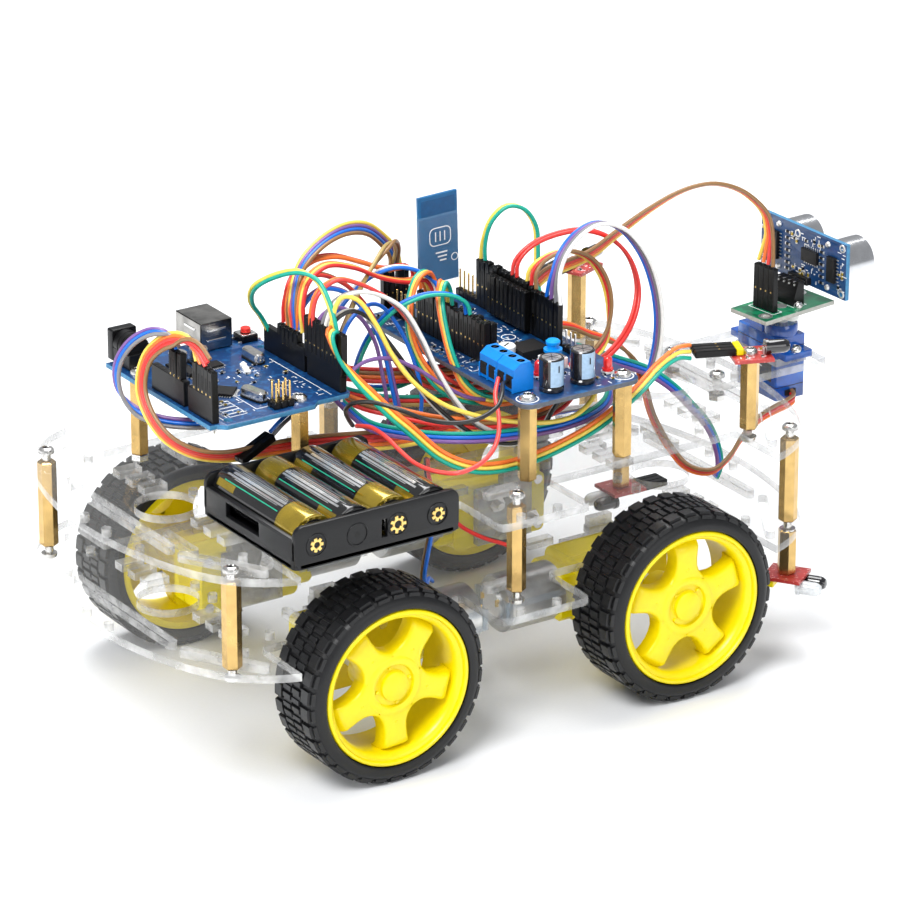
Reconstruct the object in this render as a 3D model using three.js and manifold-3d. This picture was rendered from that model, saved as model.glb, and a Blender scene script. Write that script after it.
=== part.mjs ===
// Four wheel robot car kit: two clear acrylic decks on brass standoffs, four geared motors with
// spoked wheels, a battery holder, a controller board, a driver board and sensors.
// Millimetres, +Z up, +X forward, +Y to the car's left. Places are measured from the point on the
// ground midway between the four wheels; the finished group is then shifted so that its origin is
// the middle of the bottom of its bounding box.
import * as THREE from "three";
import { mergeVertices } from "three/addons/utils/BufferGeometryUtils.js";
import Module from "manifold-3d";

const wasm = await Module();
wasm.setup();

// Driving dimensions
const GAP = 0.3; // clearance between pieces that touch
const AXLE_X = 57; // half the wheelbase
const TYRE_R = 33;
const AXLE_Z = TYRE_R;
const WHEEL_OUT = 76; // outer face of a tyre, from the centre line
const TYRE_WIDTH = 24.6;
const RIM_R = 26.6;
const RIM_BORE = 24.2; // inside radius of the rim's barrel
const SHAFT_R = 2.7;
const SHAFT_CLEARANCE = 0.35;

const DECK_T = 2.8;
const LOWER_TOP = 46.6;
const DECK_GAP = 30; // length of the standoffs between the decks
const UPPER_TOP = LOWER_TOP + DECK_GAP + DECK_T;
const DECK_HALF = 127.3; // half length, on the centre line
const END_R = 140; // radius of the curved ends
const END_ARC_Y = 46; // where an end's arc turns into its tighter corner
const WING_X = 92; // the wings' inner edges, beside the wheels
const WING_Y = 74; // the wings' points
const WAIST_Y = 50; // half width beside the wheels
const TAB_X = 17.3; // half width of the tab between the wheels
const TAB_Y = 74.6;

const STANDOFF_AF = 5.5; // across the flats of a hexagonal standoff
const STANDOFF_X = 108;
const STANDOFF_Y = 58.5;
const MID_STANDOFF_Y = 57;

const MOTOR = {
  height: 21.6, width: 18.6, axleToEnd: 11.2, gearbox: 37, tab: 5, can: 27.5, canR: 9.9,
};
const MOTOR_Y = 36.6; // centre line of a geared motor
const BRACKET_T = 2.8;
const BRACKET_IN = MOTOR.width / 2 + GAP + BRACKET_T / 2; // bracket's middle, inwards of MOTOR_Y

const HOLDER = { x: -61.5, y: -43, length: 61, depth: 55, wall: 1.8, height: 14.5 };
const CELL = { r: 7.1, length: 49.5, nub: 1.2, nubR: 2.7 };

const BOARD_T = 1.6;
const CONTROLLER = { x: -89.1, y: 50.8, length: 68.6, width: 53.3, stand: 28 };
const DRIVER = {
  x: 29.5, y: -3.1, width: 46, length: 98, stand: 26, screwX: 18.65, screwY: -43.7,
};

const SERVO = {
  x: 143.3, y: 0, width: 12, length: 22.6, height: 22.7, tabSpan: 32.2, tabT: 2.4, tabZ: 15.9,
};
const SHAFT_OFFSET = -5.5; // the servo's output shaft, from the middle of its case
const PAN = THREE.MathUtils.degToRad(7); // the ultrasonic head's own rest angle
const CARRIER_Z = 97.8;

// ---- helpers ----

function material(color, roughness, metalness = 0, opacity = 1) {
  const made = new THREE.MeshStandardMaterial({ color, roughness, metalness, opacity });
  made.transparent = opacity < 1;
  return made;
}

const MATERIALS = {
  acrylic: material(0xe8eef0, 0.08, 0, 0.3),
  brass: material(0xc39a55, 0.3, 1),
  steel: material(0xc8c8c8, 0.3, 1),
  yellow: material(0xf2d400, 0.4),
  tyre: material(0x15171a, 0.85),
  white: material(0xe8e8e4, 0.5),
  black: material(0x17181a, 0.5),
  foil: material(0x3a3320, 0.3, 0.6),
  blueBoard: material(0x10478f, 0.45),
  greenBoard: material(0x0a6a37, 0.45),
  redBoard: material(0xb02a2a, 0.45),
  blue: material(0x1a6fd0, 0.35),
  red: material(0xc02020, 0.45),
  wire: material(0xc86a2a, 0.5),
};

function solid(geometry) {
  const plain = geometry.index ? geometry.toNonIndexed() : geometry.clone();
  plain.deleteAttribute("normal");
  plain.deleteAttribute("uv");
  const merged = mergeVertices(plain, 1e-4);
  const mesh = new wasm.Mesh({
    numProp: 3,
    vertProperties: merged.attributes.position.array,
    triVerts: new Uint32Array(merged.index.array),
  });
  return new wasm.Manifold(mesh);
}

function geometryOf(manifold) {
  const mesh = manifold.getMesh();
  const geometry = new THREE.BufferGeometry();
  geometry.setAttribute("position", new THREE.BufferAttribute(mesh.vertProperties, 3));
  geometry.setIndex(new THREE.BufferAttribute(mesh.triVerts, 1));
  return geometry;
}

const join = (...shapes) => geometryOf(shapes.map(solid).reduce((a, b) => a.add(b)));
const cut = (body, ...holes) =>
  geometryOf(holes.map(solid).reduce((a, b) => a.subtract(b), solid(body)));

// A box given by its middle and its size.
function block(x, y, z, width, depth, height) {
  return new THREE.BoxGeometry(width, depth, height).translate(x, y, z);
}

// A box standing on z.
function slab(x, y, z, width, depth, height) {
  return block(x, y, z + height / 2, width, depth, height);
}

// An upright cylinder standing on z.
function post(x, y, z, r, height, sides = 20) {
  return new THREE.CylinderGeometry(r, r, height, sides)
    .rotateX(Math.PI / 2)
    .translate(x, y, z + height / 2);
}

// An upright hexagonal bar standing on z.
function hexPost(x, y, z, height, flats = STANDOFF_AF) {
  return post(x, y, z, flats / Math.sqrt(3), height, 6);
}

// A cylinder along Y from y0 to y1.
function barY(x, y0, y1, z, r, sides = 24) {
  return new THREE.CylinderGeometry(r, r, Math.abs(y1 - y0), sides).translate(x, (y0 + y1) / 2, z);
}

// A cylinder along X from x0 to x1.
function barX(x0, x1, y, z, r, sides = 24) {
  return new THREE.CylinderGeometry(r, r, Math.abs(x1 - x0), sides)
    .rotateZ(Math.PI / 2)
    .translate((x0 + x1) / 2, y, z);
}

// A path's points, without those that fall on their neighbour where an arc meets a line.
function distinctPoints(path, segments) {
  const points = path.getPoints(segments);
  return points.filter((p, i) => p.distanceTo(points[(i + 1) % points.length]) > 1e-3);
}

// A path filled in and extruded upwards from z.
function prism(path, z, depth, segments) {
  const filled = new THREE.Shape(distinctPoints(path, segments));
  return new THREE.ExtrudeGeometry(filled, { depth, bevelEnabled: false }).translate(0, 0, z);
}

// A flat piece cut from a sheet: its outline extruded upwards from z, with its holes cut through.
function sheet(shape, z, thickness, segments = 6) {
  const plate = prism(shape, z, thickness, segments);
  if (!shape.holes.length) return plate;
  const holes = shape.holes.map((hole) => prism(hole, z - 1, thickness + 2, hole.fineness));
  return cut(plate, ...holes);
}

// A turned piece whose axis is Y, from a profile of [radius, y] points that closes on itself.
function turned(profile, sides) {
  return new THREE.LatheGeometry(profile.map(([r, y]) => new THREE.Vector2(r, y)), sides);
}

// A wire or a bundle of wires along hand-set points.
function cord(points, diameter, steps) {
  const places = points.map((p) => new THREE.Vector3(...p));
  const extrudePath = new THREE.CatmullRomCurve3(places, false, "centripetal");
  const section = new THREE.Shape();
  section.absarc(0, 0, diameter / 2, 0, Math.PI * 2, false);
  return new THREE.ExtrudeGeometry(section, { steps, extrudePath, curveSegments: 3 });
}

const robot = new THREE.Group();

function add(name, geometry, kind, parent = robot) {
  const mesh = new THREE.Mesh(geometry, MATERIALS[kind]);
  mesh.name = name;
  parent.add(mesh);
  return mesh;
}

// ---- decks ----

function circleHole(x, y, r) {
  const hole = new THREE.Path();
  hole.absarc(x, y, r, 0, Math.PI * 2, true);
  hole.fineness = r > 3 ? 8 : 3;
  return hole;
}

function rectHole(x, y, width, depth) {
  const hole = new THREE.Path();
  hole.moveTo(x - width / 2, y - depth / 2);
  hole.lineTo(x - width / 2, y + depth / 2);
  hole.lineTo(x + width / 2, y + depth / 2);
  hole.lineTo(x + width / 2, y - depth / 2);
  hole.closePath();
  hole.fineness = 1;
  return hole;
}

// A slot with round ends between two points.
function slotHole(x0, y0, x1, y1, width) {
  const r = width / 2;
  const along = Math.atan2(y1 - y0, x1 - x0);
  const hole = new THREE.Path();
  hole.absarc(x0, y0, r, along - Math.PI / 2, along + Math.PI / 2, true);
  hole.absarc(x1, y1, r, along + Math.PI / 2, along - Math.PI / 2, true);
  hole.closePath();
  hole.fineness = 2;
  return hole;
}

function deckOutline() {
  const centre = DECK_HALF - END_R;
  const sweep = Math.asin(END_ARC_Y / END_R);
  const cornerX = centre + END_R * Math.cos(sweep);
  const lean = 18; // length of the tangent that leads an arc into its corner
  const leanX = cornerX - Math.sin(sweep) * lean;
  const leanY = END_ARC_Y + Math.cos(sweep) * lean;
  const flareX = 103;
  const flareY = 70.5;
  // One side's edge between the wings, from front to rear on the left.
  const side = [
    [WING_X, WAIST_Y], [TAB_X, WAIST_Y], [TAB_X, TAB_Y - 2], [TAB_X - 3, TAB_Y],
    [-TAB_X + 3, TAB_Y], [-TAB_X, TAB_Y - 2], [-TAB_X, WAIST_Y], [-WING_X, WAIST_Y],
  ];
  const outline = new THREE.Shape();
  outline.moveTo(WING_X, -WING_Y);
  outline.bezierCurveTo(flareX, -flareY, leanX, -leanY, cornerX, -END_ARC_Y);
  outline.absarc(centre, 0, END_R, -sweep, sweep, false);
  outline.bezierCurveTo(leanX, leanY, flareX, flareY, WING_X, WING_Y);
  for (const [x, y] of side) outline.lineTo(x, y);
  outline.lineTo(-WING_X, WING_Y);
  outline.bezierCurveTo(-flareX, flareY, -leanX, leanY, -cornerX, END_ARC_Y);
  outline.absarc(-centre, 0, END_R, Math.PI - sweep, Math.PI + sweep, false);
  outline.bezierCurveTo(-leanX, -leanY, -flareX, -flareY, -WING_X, -WING_Y);
  for (const [x, y] of side) outline.lineTo(-x, -y);
  outline.closePath();
  return outline;
}

function deckHoles() {
  const holes = [];
  const tongueY = MOTOR_Y - BRACKET_IN;
  for (const end of [-1, 1]) {
    holes.push(circleHole(end * 97, 0, 10.2));
    holes.push(slotHole(end * 113.2, -30, end * 113.2, 30, 3.2));
    for (const side of [-1, 1]) {
      holes.push(slotHole(end * 113, side * 37.5, end * 98.2, side * 62, 3.2));
      for (const y of [16.7, 24.7, 32.9]) holes.push(rectHole(end * 92.2, side * y, 8.4, 4.7));
      for (const [x, y] of [[123, 7], [83.6, 5.5], [83.6, 41], [97.8, 48.8]]) {
        holes.push(circleHole(end * x, side * y, 1.6));
      }
      for (const x of [54, 30]) {
        holes.push(rectHole(end * x, side * tongueY, 9.6, BRACKET_T + 2 * GAP));
      }
      holes.push(slotHole(end * 70, side * 29, end * 70, side * 46, 3.2));
    }
  }
  for (const side of [-1, 1]) {
    holes.push(slotHole(-5, side * 48, 5, side * 48, 4));
    for (const x of [-7, 7]) holes.push(circleHole(x, side * 70, 1.6));
  }
  return holes;
}

function deck(name, top) {
  const shape = deckOutline();
  shape.holes = deckHoles();
  add(name, sheet(shape, top - DECK_T, DECK_T), "acrylic");
}

function deckStandoffs() {
  const places = [
    ["rear", -STANDOFF_X, STANDOFF_Y],
    ["middle", 0, MID_STANDOFF_Y],
    ["front", STANDOFF_X, STANDOFF_Y],
  ];
  for (const [place, x, y] of places) {
    for (const [side, sign] of [["left", 1], ["right", -1]]) {
      const bar = hexPost(0, 0, 0, DECK_GAP - 2 * GAP);
      const mesh = add(`deck_standoff_${place}_${side}`, bar, "brass");
      mesh.position.set(x, sign * y, LOWER_TOP + GAP);
    }
  }
}

// ---- drive: one geared motor, bracket, shaft, rim and tyre at each corner ----

function gearMotor() {
  const { height, width, axleToEnd, gearbox, tab, can, canR } = MOTOR;
  const canEnd = axleToEnd - gearbox - can;
  const body = join(
    block(axleToEnd - gearbox / 2, 0, 0, gearbox, width, height),
    block(axleToEnd + tab / 2 - 0.5, 0, 0, tab + 1, 2.6, 6),
    barX(canEnd, canEnd + can + 1, 0, 0, canR, 20),
    block(axleToEnd - gearbox - 6, 0, 0, 13, width - 1, 2 * canR - 3),
  );
  const bore = barY(0, -width, -width / 2 + 5, 0, SHAFT_R + SHAFT_CLEARANCE, 16);
  return cut(body, bore);
}

// A clear T-shaped bracket: its plate lies on the motor's inner side and its tongue passes the deck.
function motorBracket() {
  const x = 54 - AXLE_X;
  const y = BRACKET_IN;
  const top = LOWER_TOP - AXLE_Z + 3;
  const under = LOWER_TOP - DECK_T - AXLE_Z - GAP;
  return join(
    block(x - 4, y, under - 10, 22, BRACKET_T, 20),
    block(x, y, (under - 1 + top) / 2, 9, BRACKET_T, top - under + 1),
  );
}

function driveShaft() {
  const inner = MOTOR.width / 2 - 4.6;
  return barY(0, -inner, -(WHEEL_OUT - MOTOR_Y - 7.4), 0, SHAFT_R, 16);
}

// The wheel's profile is drawn with y = 0 at its outer face and y growing inwards.
function wheelRim() {
  const bore = SHAFT_R + SHAFT_CLEARANCE;
  const barrelProfile = [
    [RIM_BORE, 0.8], [RIM_R, 0.4], [RIM_R, 2.6], [RIM_R - 1.3, 3.6], [RIM_R - 1.3, 20.4],
    [RIM_R, 21.4], [RIM_R, 23.4], [RIM_BORE, 23.4], [RIM_BORE, 0.8],
  ];
  const hubProfile = [
    [0, 4.6], [5.2, 4.6], [5.2, 6], [8.4, 6], [9.6, 4.4], [10.6, 4.4], [10.6, 8], [6, 9.5],
    [6, 22], [bore, 22], [bore, 7], [0, 7], [0, 4.6],
  ];
  const barrel = turned(barrelProfile, 24);
  const hub = turned(hubProfile, 14);
  const spokes = Array.from({ length: 5 }, (_, i) => {
    const spoke = new THREE.Shape();
    spoke.moveTo(9, -5.6);
    spoke.lineTo(RIM_BORE + 0.8, -4.4);
    spoke.lineTo(RIM_BORE + 0.8, 4.4);
    spoke.lineTo(9, 5.6);
    spoke.closePath();
    return sheet(spoke, 0, 5)
      .rotateX(-Math.PI / 2)
      .translate(0, 3.4, 0)
      .rotateY(((i - 1.25) * 2 * Math.PI) / 5);
  });
  return join(barrel, hub, ...spokes);
}

function tyre() {
  const inside = RIM_R - 1.3 + GAP;
  const bead = RIM_R + GAP;
  const profile = [
    [bead, 0.4], [30.8, 0.4], [TYRE_R, 2.8], [TYRE_R, TYRE_WIDTH - 2.8], [30.8, TYRE_WIDTH - 0.4],
    [bead, TYRE_WIDTH - 0.4], [bead, 21.4 - GAP], [inside, 20.4 - GAP], [inside, 3.6 + GAP],
    [bead, 2.6 + GAP], [bead, 0.4],
  ];
  return turned(profile, 26);
}

function corner(end, side) {
  const name = `${end > 0 ? "front" : "rear"}_${side > 0 ? "left" : "right"}`;
  const drive = new THREE.Group();
  drive.position.set(end * AXLE_X, side * MOTOR_Y, AXLE_Z);
  drive.scale.set(end, -side, 1);
  robot.add(drive);
  add(`gear_motor_${name}`, gearMotor(), "yellow", drive);
  add(`motor_bracket_${name}`, motorBracket(), "acrylic", drive);
  add(`drive_shaft_${name}`, driveShaft(), "white", drive);
  const wheel = new THREE.Group();
  wheel.position.y = -(WHEEL_OUT - MOTOR_Y);
  drive.add(wheel);
  add(`wheel_rim_${name}`, wheelRim(), "yellow", wheel);
  add(`tyre_${name}`, tyre(), "tyre", wheel);
}

// ---- battery holder and its four cells ----

function batteryHolder() {
  const { length, depth, wall, height } = HOLDER;
  const tray = cut(
    slab(0, 0, 0, length, depth, height),
    slab(0, 0, wall, length - 2 * wall, depth - 2 * wall, height),
    block(-length / 2, 0, 7.5, 4 * wall, 20, 5),
    block(7, -depth / 2, 7, 2, 4 * wall, 6),
  );
  const holder = new THREE.Group();
  holder.position.set(HOLDER.x, HOLDER.y, UPPER_TOP + GAP);
  robot.add(holder);
  add("battery_holder", tray, "black", holder);
  const pitch = (length - 2 * wall) / 4;
  for (let i = 0; i < 4; i++) {
    const cell = join(
      barY(0, -CELL.length / 2, CELL.length / 2, 0, CELL.r, 20),
      barY(0, CELL.length / 2 - 1, CELL.length / 2 + CELL.nub, 0, CELL.nubR, 12),
    );
    const mesh = add(`battery_cell_${i + 1}`, cell, "foil", holder);
    mesh.position.set((i - 1.5) * pitch, 0, wall + GAP + CELL.r);
    mesh.rotation.z = i % 2 ? 0 : Math.PI;
    mesh.translateY(-CELL.nub / 2);
  }
}

// ---- controller board: u runs along the board from its socket end, v across it ----

function controller() {
  const { x, y, length, width, stand } = CONTROLLER;
  const unit = new THREE.Group();
  unit.position.set(x, y, UPPER_TOP + stand);
  unit.rotation.z = -Math.PI / 2;
  robot.add(unit);
  const inset = length - 2.5; // the board's near edge steps in beside its middle
  const corners = [
    [0, 0], [inset, 0], [inset, 2.4], [length, 5], [length, 37.6], [inset, 40.2],
    [inset, width - 1.5], [inset - 1.5, width], [0, width],
  ];
  const outline = new THREE.Shape(corners.map(([u, v]) => new THREE.Vector2(u, v)));
  outline.holes = [[15.24, 50.8 - 0.6], [66.04 - 1.4, 7.62]].map(([u, v]) => circleHole(u, v, 1.6));
  add("controller_board", sheet(outline, GAP, BOARD_T), "blueBoard", unit);
  const top = GAP + BOARD_T + GAP;
  const usb = cut(slab(1.8, 36.2, top, 16, 12, 9.8), block(-4, 36.2, top + 4.9, 13, 9.6, 7.4));
  add("usb_socket", usb, "steel", unit);
  const jack = cut(
    join(slab(4.6, 6.6, top, 14, 9, 6.4), barX(-2.4, 11.6, 6.6, top + 6.4, 4.5, 20)),
    barX(-4, 8, 6.6, top + 6.4, 3.1, 16),
  );
  add("power_jack", jack, "black", unit);
  const reset = join(slab(7, 49, top + 3.2, 2.4, 2.4, 1), post(7, 49, top + 1, 1.6, 2.6, 16));
  add("reset_button", reset, "red", unit);
  for (const [place, u, v] of [["rear", 13.97, 4], ["front", 62.4, 35.56]]) {
    const bar = hexPost(u, v, -stand + GAP, stand - GAP);
    add(`controller_standoff_${place}`, bar, "brass", unit);
  }
}

// ---- driver board ----

function driver() {
  const { x, y, width, length, stand, screwX, screwY } = DRIVER;
  const unit = new THREE.Group();
  unit.position.set(x, y, UPPER_TOP + stand);
  robot.add(unit);
  const r = 4;
  const w = width / 2;
  const l = length / 2;
  const outline = new THREE.Shape();
  outline.moveTo(-w + r, -l);
  outline.absarc(w - r, -l + r, r, -Math.PI / 2, 0, false);
  outline.absarc(w - r, l - r, r, 0, Math.PI / 2, false);
  outline.absarc(-w + r, l - r, r, Math.PI / 2, Math.PI, false);
  outline.absarc(-w + r, -l + r, r, Math.PI, Math.PI * 1.5, false);
  outline.closePath();
  outline.holes = [-1, 1].map((side) => circleHole(side * screwX, -screwY, 1.6));
  add("driver_board", sheet(outline, GAP, BOARD_T, 3), "blueBoard", unit);
  const top = GAP + BOARD_T + GAP;
  const terminals = join(slab(0, 0, 0, 7.6, 20, 7.2), slab(0.8, 0, 7, 5, 20, 3));
  add("terminal_block", terminals, "blue", unit).position.set(-16.2, -28, top);
  add("driver_switch_button", slab(4.3, -24.5, top + 4, 5.2, 5.2, 5), "blue", unit);
  for (const [place, side] of [["left", -1], ["right", 1]]) {
    const bar = hexPost(side * screwX, screwY, -stand + GAP, stand - GAP);
    add(`driver_standoff_${place}`, bar, "brass", unit);
  }
  add("bluetooth_module", slab(2.2, 41.1, top + 8.8, 16.4, 3, 32), "blueBoard", unit);
}

// ---- servo and the ultrasonic head that it turns ----

function servoMount() {
  const front = 152.5;
  const rear = 104;
  const { x, y, width, length, height, tabSpan, tabT, tabZ } = SERVO;
  const plate = cut(
    slab((front + rear) / 2, 0, 0, front - rear, 39, DECK_T),
    slab(x, y, -1, width + 0.8, length + 0.8, DECK_T + 2),
    post(111, 13, -1, 1.6, DECK_T + 2, 12),
    post(111, -13, -1, 1.6, DECK_T + 2, 12),
  );
  add("servo_plate", plate, "acrylic").position.z = UPPER_TOP + GAP;
  const gearY = y + SHAFT_OFFSET;
  const body = join(
    slab(x, y, 0, width, length, height),
    slab(x, y, tabZ, width - 0.4, tabSpan, tabT),
    post(x, gearY, height - 1, 5.8, 5, 20),
    post(x, gearY + 6.5, height - 1, 2.6, 5, 12),
    post(x, gearY, height + 3, 2.3, 2.2, 12),
  );
  add("servo", body, "blue").position.z = UPPER_TOP + GAP + DECK_T + GAP - tabZ;
}

function sonarHead() {
  const head = new THREE.Group();
  head.position.set(SERVO.x, SERVO.y + SHAFT_OFFSET, CARRIER_Z);
  head.rotation.z = PAN;
  robot.add(head);
  const plugHeight = 16;
  const carrier = join(
    slab(0.4, 0, 0, 32, 17.6, BOARD_T),
    slab(-7.2, 0.6, BOARD_T - 0.1, 2.6, 10.4, plugHeight + 0.1),
    slab(3.6, 0.6, BOARD_T - 0.1, 4.6, 10.6, 8.6),
    slab(0, 0, -2.2, 5, 15, 2.3),
  );
  add("sonar_carrier", carrier, "greenBoard", head);
  const reach = 9.3;
  const middle = 17.5;
  const sensor = join(
    block(reach, 0, middle, BOARD_T, 45, 20),
    barX(reach + 0.5, reach + 13.2, 13, middle, 8, 24),
    barX(reach + 0.5, reach + 13.2, -13, middle, 8, 24),
    block(reach - 1.6, 0.6, middle - 8.4, 2.6, 10.4, 2.6),
  );
  const upright = add("sonar_sensor", sensor, "blueBoard", head);
  upright.rotation.z = -THREE.MathUtils.degToRad(4); // it leans a little in its socket
  upright.position.x = 0.5;
}

// ---- small infrared boards on standoffs ----

// A board of 13.4 by 12.6 mm on its standoff, with a sensor bulb and a three-pin plug.
function sensorBoard(stand, bulbLength) {
  return join(
    hexPost(0, 0, 0, stand + 0.1),
    slab(0, 0, stand, 13.4, 12.6, 1.2),
    barX(4, 6.4 + bulbLength, -1, stand + 3.4, 2.4, 12),
    slab(5.4, -1, stand + 1, 3, 4, 3),
    slab(-11.5, 2, stand + 1.1, 15, 7.8, 2.8),
  );
}

function sensors() {
  for (const [side, sign] of [["left", 1], ["right", -1]]) {
    const mesh = add(`infrared_sensor_${side}`, sensorBoard(25, 7), "redBoard");
    mesh.position.set(97, sign * 50.4, UPPER_TOP + GAP);
    mesh.rotation.z = THREE.MathUtils.degToRad(sign * 22);
  }
  for (const [side, x, y, turn] of [["left", 105, 34, 180], ["right", STANDOFF_X, -STANDOFF_Y, 55]]) {
    const mesh = add(`line_sensor_${side}`, sensorBoard(16, 4), "redBoard");
    mesh.position.set(x, y, LOWER_TOP - DECK_T - GAP);
    mesh.rotation.set(Math.PI, 0, THREE.MathUtils.degToRad(turn));
  }
}

// ---- free leads, each a plain tube along its own route ----

function leads() {
  const sonar = [
    [135.9, -5.8, 115.9], [136.6, -5.9, 121], [137, -6, 126], [135, -6, 134], [129, -5, 141],
    [123, -4, 145], [115, -3, 147.6], [108, -2, 147.6], [101, -1, 146], [91, 0, 142],
    [80, 2, 135.6], [70, 3, 130], [61, 4, 127.5], [54, 4, 126.6], [49, 4, 124],
  ];
  add("sonar_ribbon", cord(sonar, 4, 22), "wire");
  const servo = [
    [143.3, -12, 69], [142.6, -14.5, 68.4], [138, -17, 68.2], [131, -19, 68], [121.5, -22, 67],
    [113, -25, 63.5], [107, -26, 58], [101, -24.5, 54], [96, -18, 54.4], [94, -9, 60],
    [93.6, 0, 68], [93.6, 5, 77], [92, 8, 85], [86, 11, 92], [76, 13, 97],
  ];
  add("servo_lead", cord(servo, 3, 26), "wire");
  const front = [
    [56, 8, 100], [62, 8, 97.4], [70, 7, 94], [82, 5.4, 88.4], [93, 1, 83.4], [99.4, -3.6, 78],
    [103, -9, 72.6], [106.6, -14.6, 66], [108.6, -17.6, 58], [108.4, -19, 52.4],
    [106, -20, 49.2],
  ];
  add("front_sensor_ribbon", cord(front, 4, 18), "wire");
  const infrared = [
    [79.4, -41.1, 107.2], [75, -40.6, 107.6], [68.6, -40, 104.6], [59.3, -39.6, 97.3],
    [44.2, -39.6, 89], [28.4, -39.6, 84.4], [16.6, -39.6, 82.6], [4.9, -39.6, 82.4],
    [-5.4, -38.6, 84.4], [-15, -35.6, 89.6], [-23.3, -30, 98.6],
  ];
  add("infrared_sensor_ribbon", cord(infrared, 4, 20), "wire");
  const supply = [
    [-86.6, -9, 127], [-87, -3.6, 131.4], [-88, 4, 132], [-90, 12, 129], [-93, 17.6, 122],
    [-95.4, 17, 113], [-95.6, 11, 105], [-93, 4, 99], [-87, -1.6, 95], [-79, -4.4, 93],
    [-66, -5.4, 92], [-54, -5.4, 91], [-40, -5.2, 89], [-26, -5, 86.6], [-12, -5, 84.6],
    [2, -5, 84], [16, -5, 84.6],
  ];
  add("controller_ribbon", cord(supply, 4, 28), "wire");
  const black = [
    [-34, -12.4, 96.4], [-38, -16, 101], [-42, -21, 106.4], [-43.4, -28, 111.4],
    [-41, -35, 113.6], [-36, -42, 112.6], [-28, -48, 109], [-20, -51.6, 107.4],
    [-12, -53, 107.6], [-4, -51.6, 109.6], [1, -47, 111.6], [5, -41.4, 112], [8.6, -38.4, 111],
  ];
  add("battery_lead_black", cord(black, 1.8, 24), "black");
  const red = [
    [-34, -14.6, 97], [-32.6, -21, 98.4], [-32.6, -30, 98.2], [-33.4, -40, 96.8],
    [-34, -50, 96], [-33, -60, 96.6], [-29, -66.6, 97.4], [-22, -67, 98.4], [-14, -63, 99.6],
    [-7, -56.6, 101.6], [-1, -48, 104.4], [3.6, -39, 107.6], [8.6, -33.4, 110.6],
  ];
  add("battery_lead_red", cord(red, 1.8, 24), "red");
}

deck("lower_deck", LOWER_TOP);
deck("upper_deck", UPPER_TOP);
deckStandoffs();
for (const end of [-1, 1]) for (const side of [-1, 1]) corner(end, side);
batteryHolder();
controller();
driver();
servoMount();
sonarHead();
sensors();
leads();

// The origin is the middle of the bottom of the whole car.
robot.updateMatrixWorld(true);
const bounds = new THREE.Box3().setFromObject(robot, true);
const middle = bounds.getCenter(new THREE.Vector3());
robot.position.set(-middle.x, -middle.y, -bounds.min.z);

export default robot;
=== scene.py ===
"""Looks of the four wheel robot car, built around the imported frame.

Every shape is drawn in millimetres from the point on the ground midway between the wheels, and
TO_FRAME takes it to the frame's metres.
"""

import math
import random

import bmesh
import bpy
from mathutils import Matrix, Vector


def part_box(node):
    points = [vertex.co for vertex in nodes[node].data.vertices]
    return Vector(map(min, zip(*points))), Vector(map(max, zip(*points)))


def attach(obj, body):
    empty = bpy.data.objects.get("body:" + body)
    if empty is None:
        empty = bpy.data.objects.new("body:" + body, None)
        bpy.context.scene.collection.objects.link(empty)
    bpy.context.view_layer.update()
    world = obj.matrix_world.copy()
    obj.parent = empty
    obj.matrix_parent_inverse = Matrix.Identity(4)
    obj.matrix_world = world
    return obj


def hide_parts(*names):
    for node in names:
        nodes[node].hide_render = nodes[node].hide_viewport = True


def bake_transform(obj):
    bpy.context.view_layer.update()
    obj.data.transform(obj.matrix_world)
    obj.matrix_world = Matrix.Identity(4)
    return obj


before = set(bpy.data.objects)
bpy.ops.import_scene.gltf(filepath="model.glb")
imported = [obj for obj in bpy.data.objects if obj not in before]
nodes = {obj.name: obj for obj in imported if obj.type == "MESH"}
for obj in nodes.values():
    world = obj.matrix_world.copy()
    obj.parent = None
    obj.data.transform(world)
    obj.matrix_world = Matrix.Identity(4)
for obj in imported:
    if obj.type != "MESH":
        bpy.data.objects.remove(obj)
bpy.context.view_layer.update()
deck_low, deck_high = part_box("lower_deck")
TO_FRAME = Matrix.Translation(((deck_low.x + deck_high.x) / 2, 0, 0)) @ Matrix.Scale(0.001, 4)
luck = random.Random(11)

# Driving dimensions, mm
AXLE_X, AXLE_Z, WHEEL_OUT, MOTOR_Y = 57, 33, 76, 36.6
DECK_T, LOWER_TOP, UPPER_TOP = 2.8, 46.6, 79.4
STANDOFFS = {"rear": (-108, 58.5), "middle": (0, 57), "front": (108, 58.5)}
CONTROLLER_TOP = 109.3
DRIVER_TOP = 107.3
GRID = 2.54  # between header pins
STANDOFF_R = 5.5 / math.sqrt(3)  # to the corners of a 5.5 mm hexagon
PAN = math.radians(7)
HEAD = Matrix.Translation((143.3, -5.5, 97.8)) @ Matrix.Rotation(PAN, 4, "Z")
Z_TO_X = Matrix.Rotation(math.pi / 2, 4, "Y")
Z_TO_Y = Matrix.Rotation(-math.pi / 2, 4, "X")
SWAP_YZ = Matrix(((1, 0, 0, 0), (0, 0, 1, 0), (0, 1, 0, 0), (0, 0, 0, 1)))


# ---- camera and light ----


def look(obj, place, target):
    obj.location = place
    obj.rotation_euler = (Vector(target) - Vector(place)).to_track_quat("-Z", "Y").to_euler()


def make_camera():
    data = bpy.data.cameras.new("camera")
    data.lens, data.sensor_width = 214.2, 36
    data.clip_start, data.clip_end = 0.05, 30
    camera = bpy.data.objects.new("camera", data)
    bpy.context.scene.collection.objects.link(camera)
    azimuth, elevation, distance = math.radians(-33.25), math.radians(22.24), 1771.73
    flat = math.cos(elevation)
    back = Vector((math.sin(azimuth) * flat, -math.cos(azimuth) * flat, math.sin(elevation)))
    target = Vector((11.78, 0.04, 73.35))
    look(camera, TO_FRAME @ (target + back * distance), TO_FRAME @ target)
    bpy.context.scene.camera = camera


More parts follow.
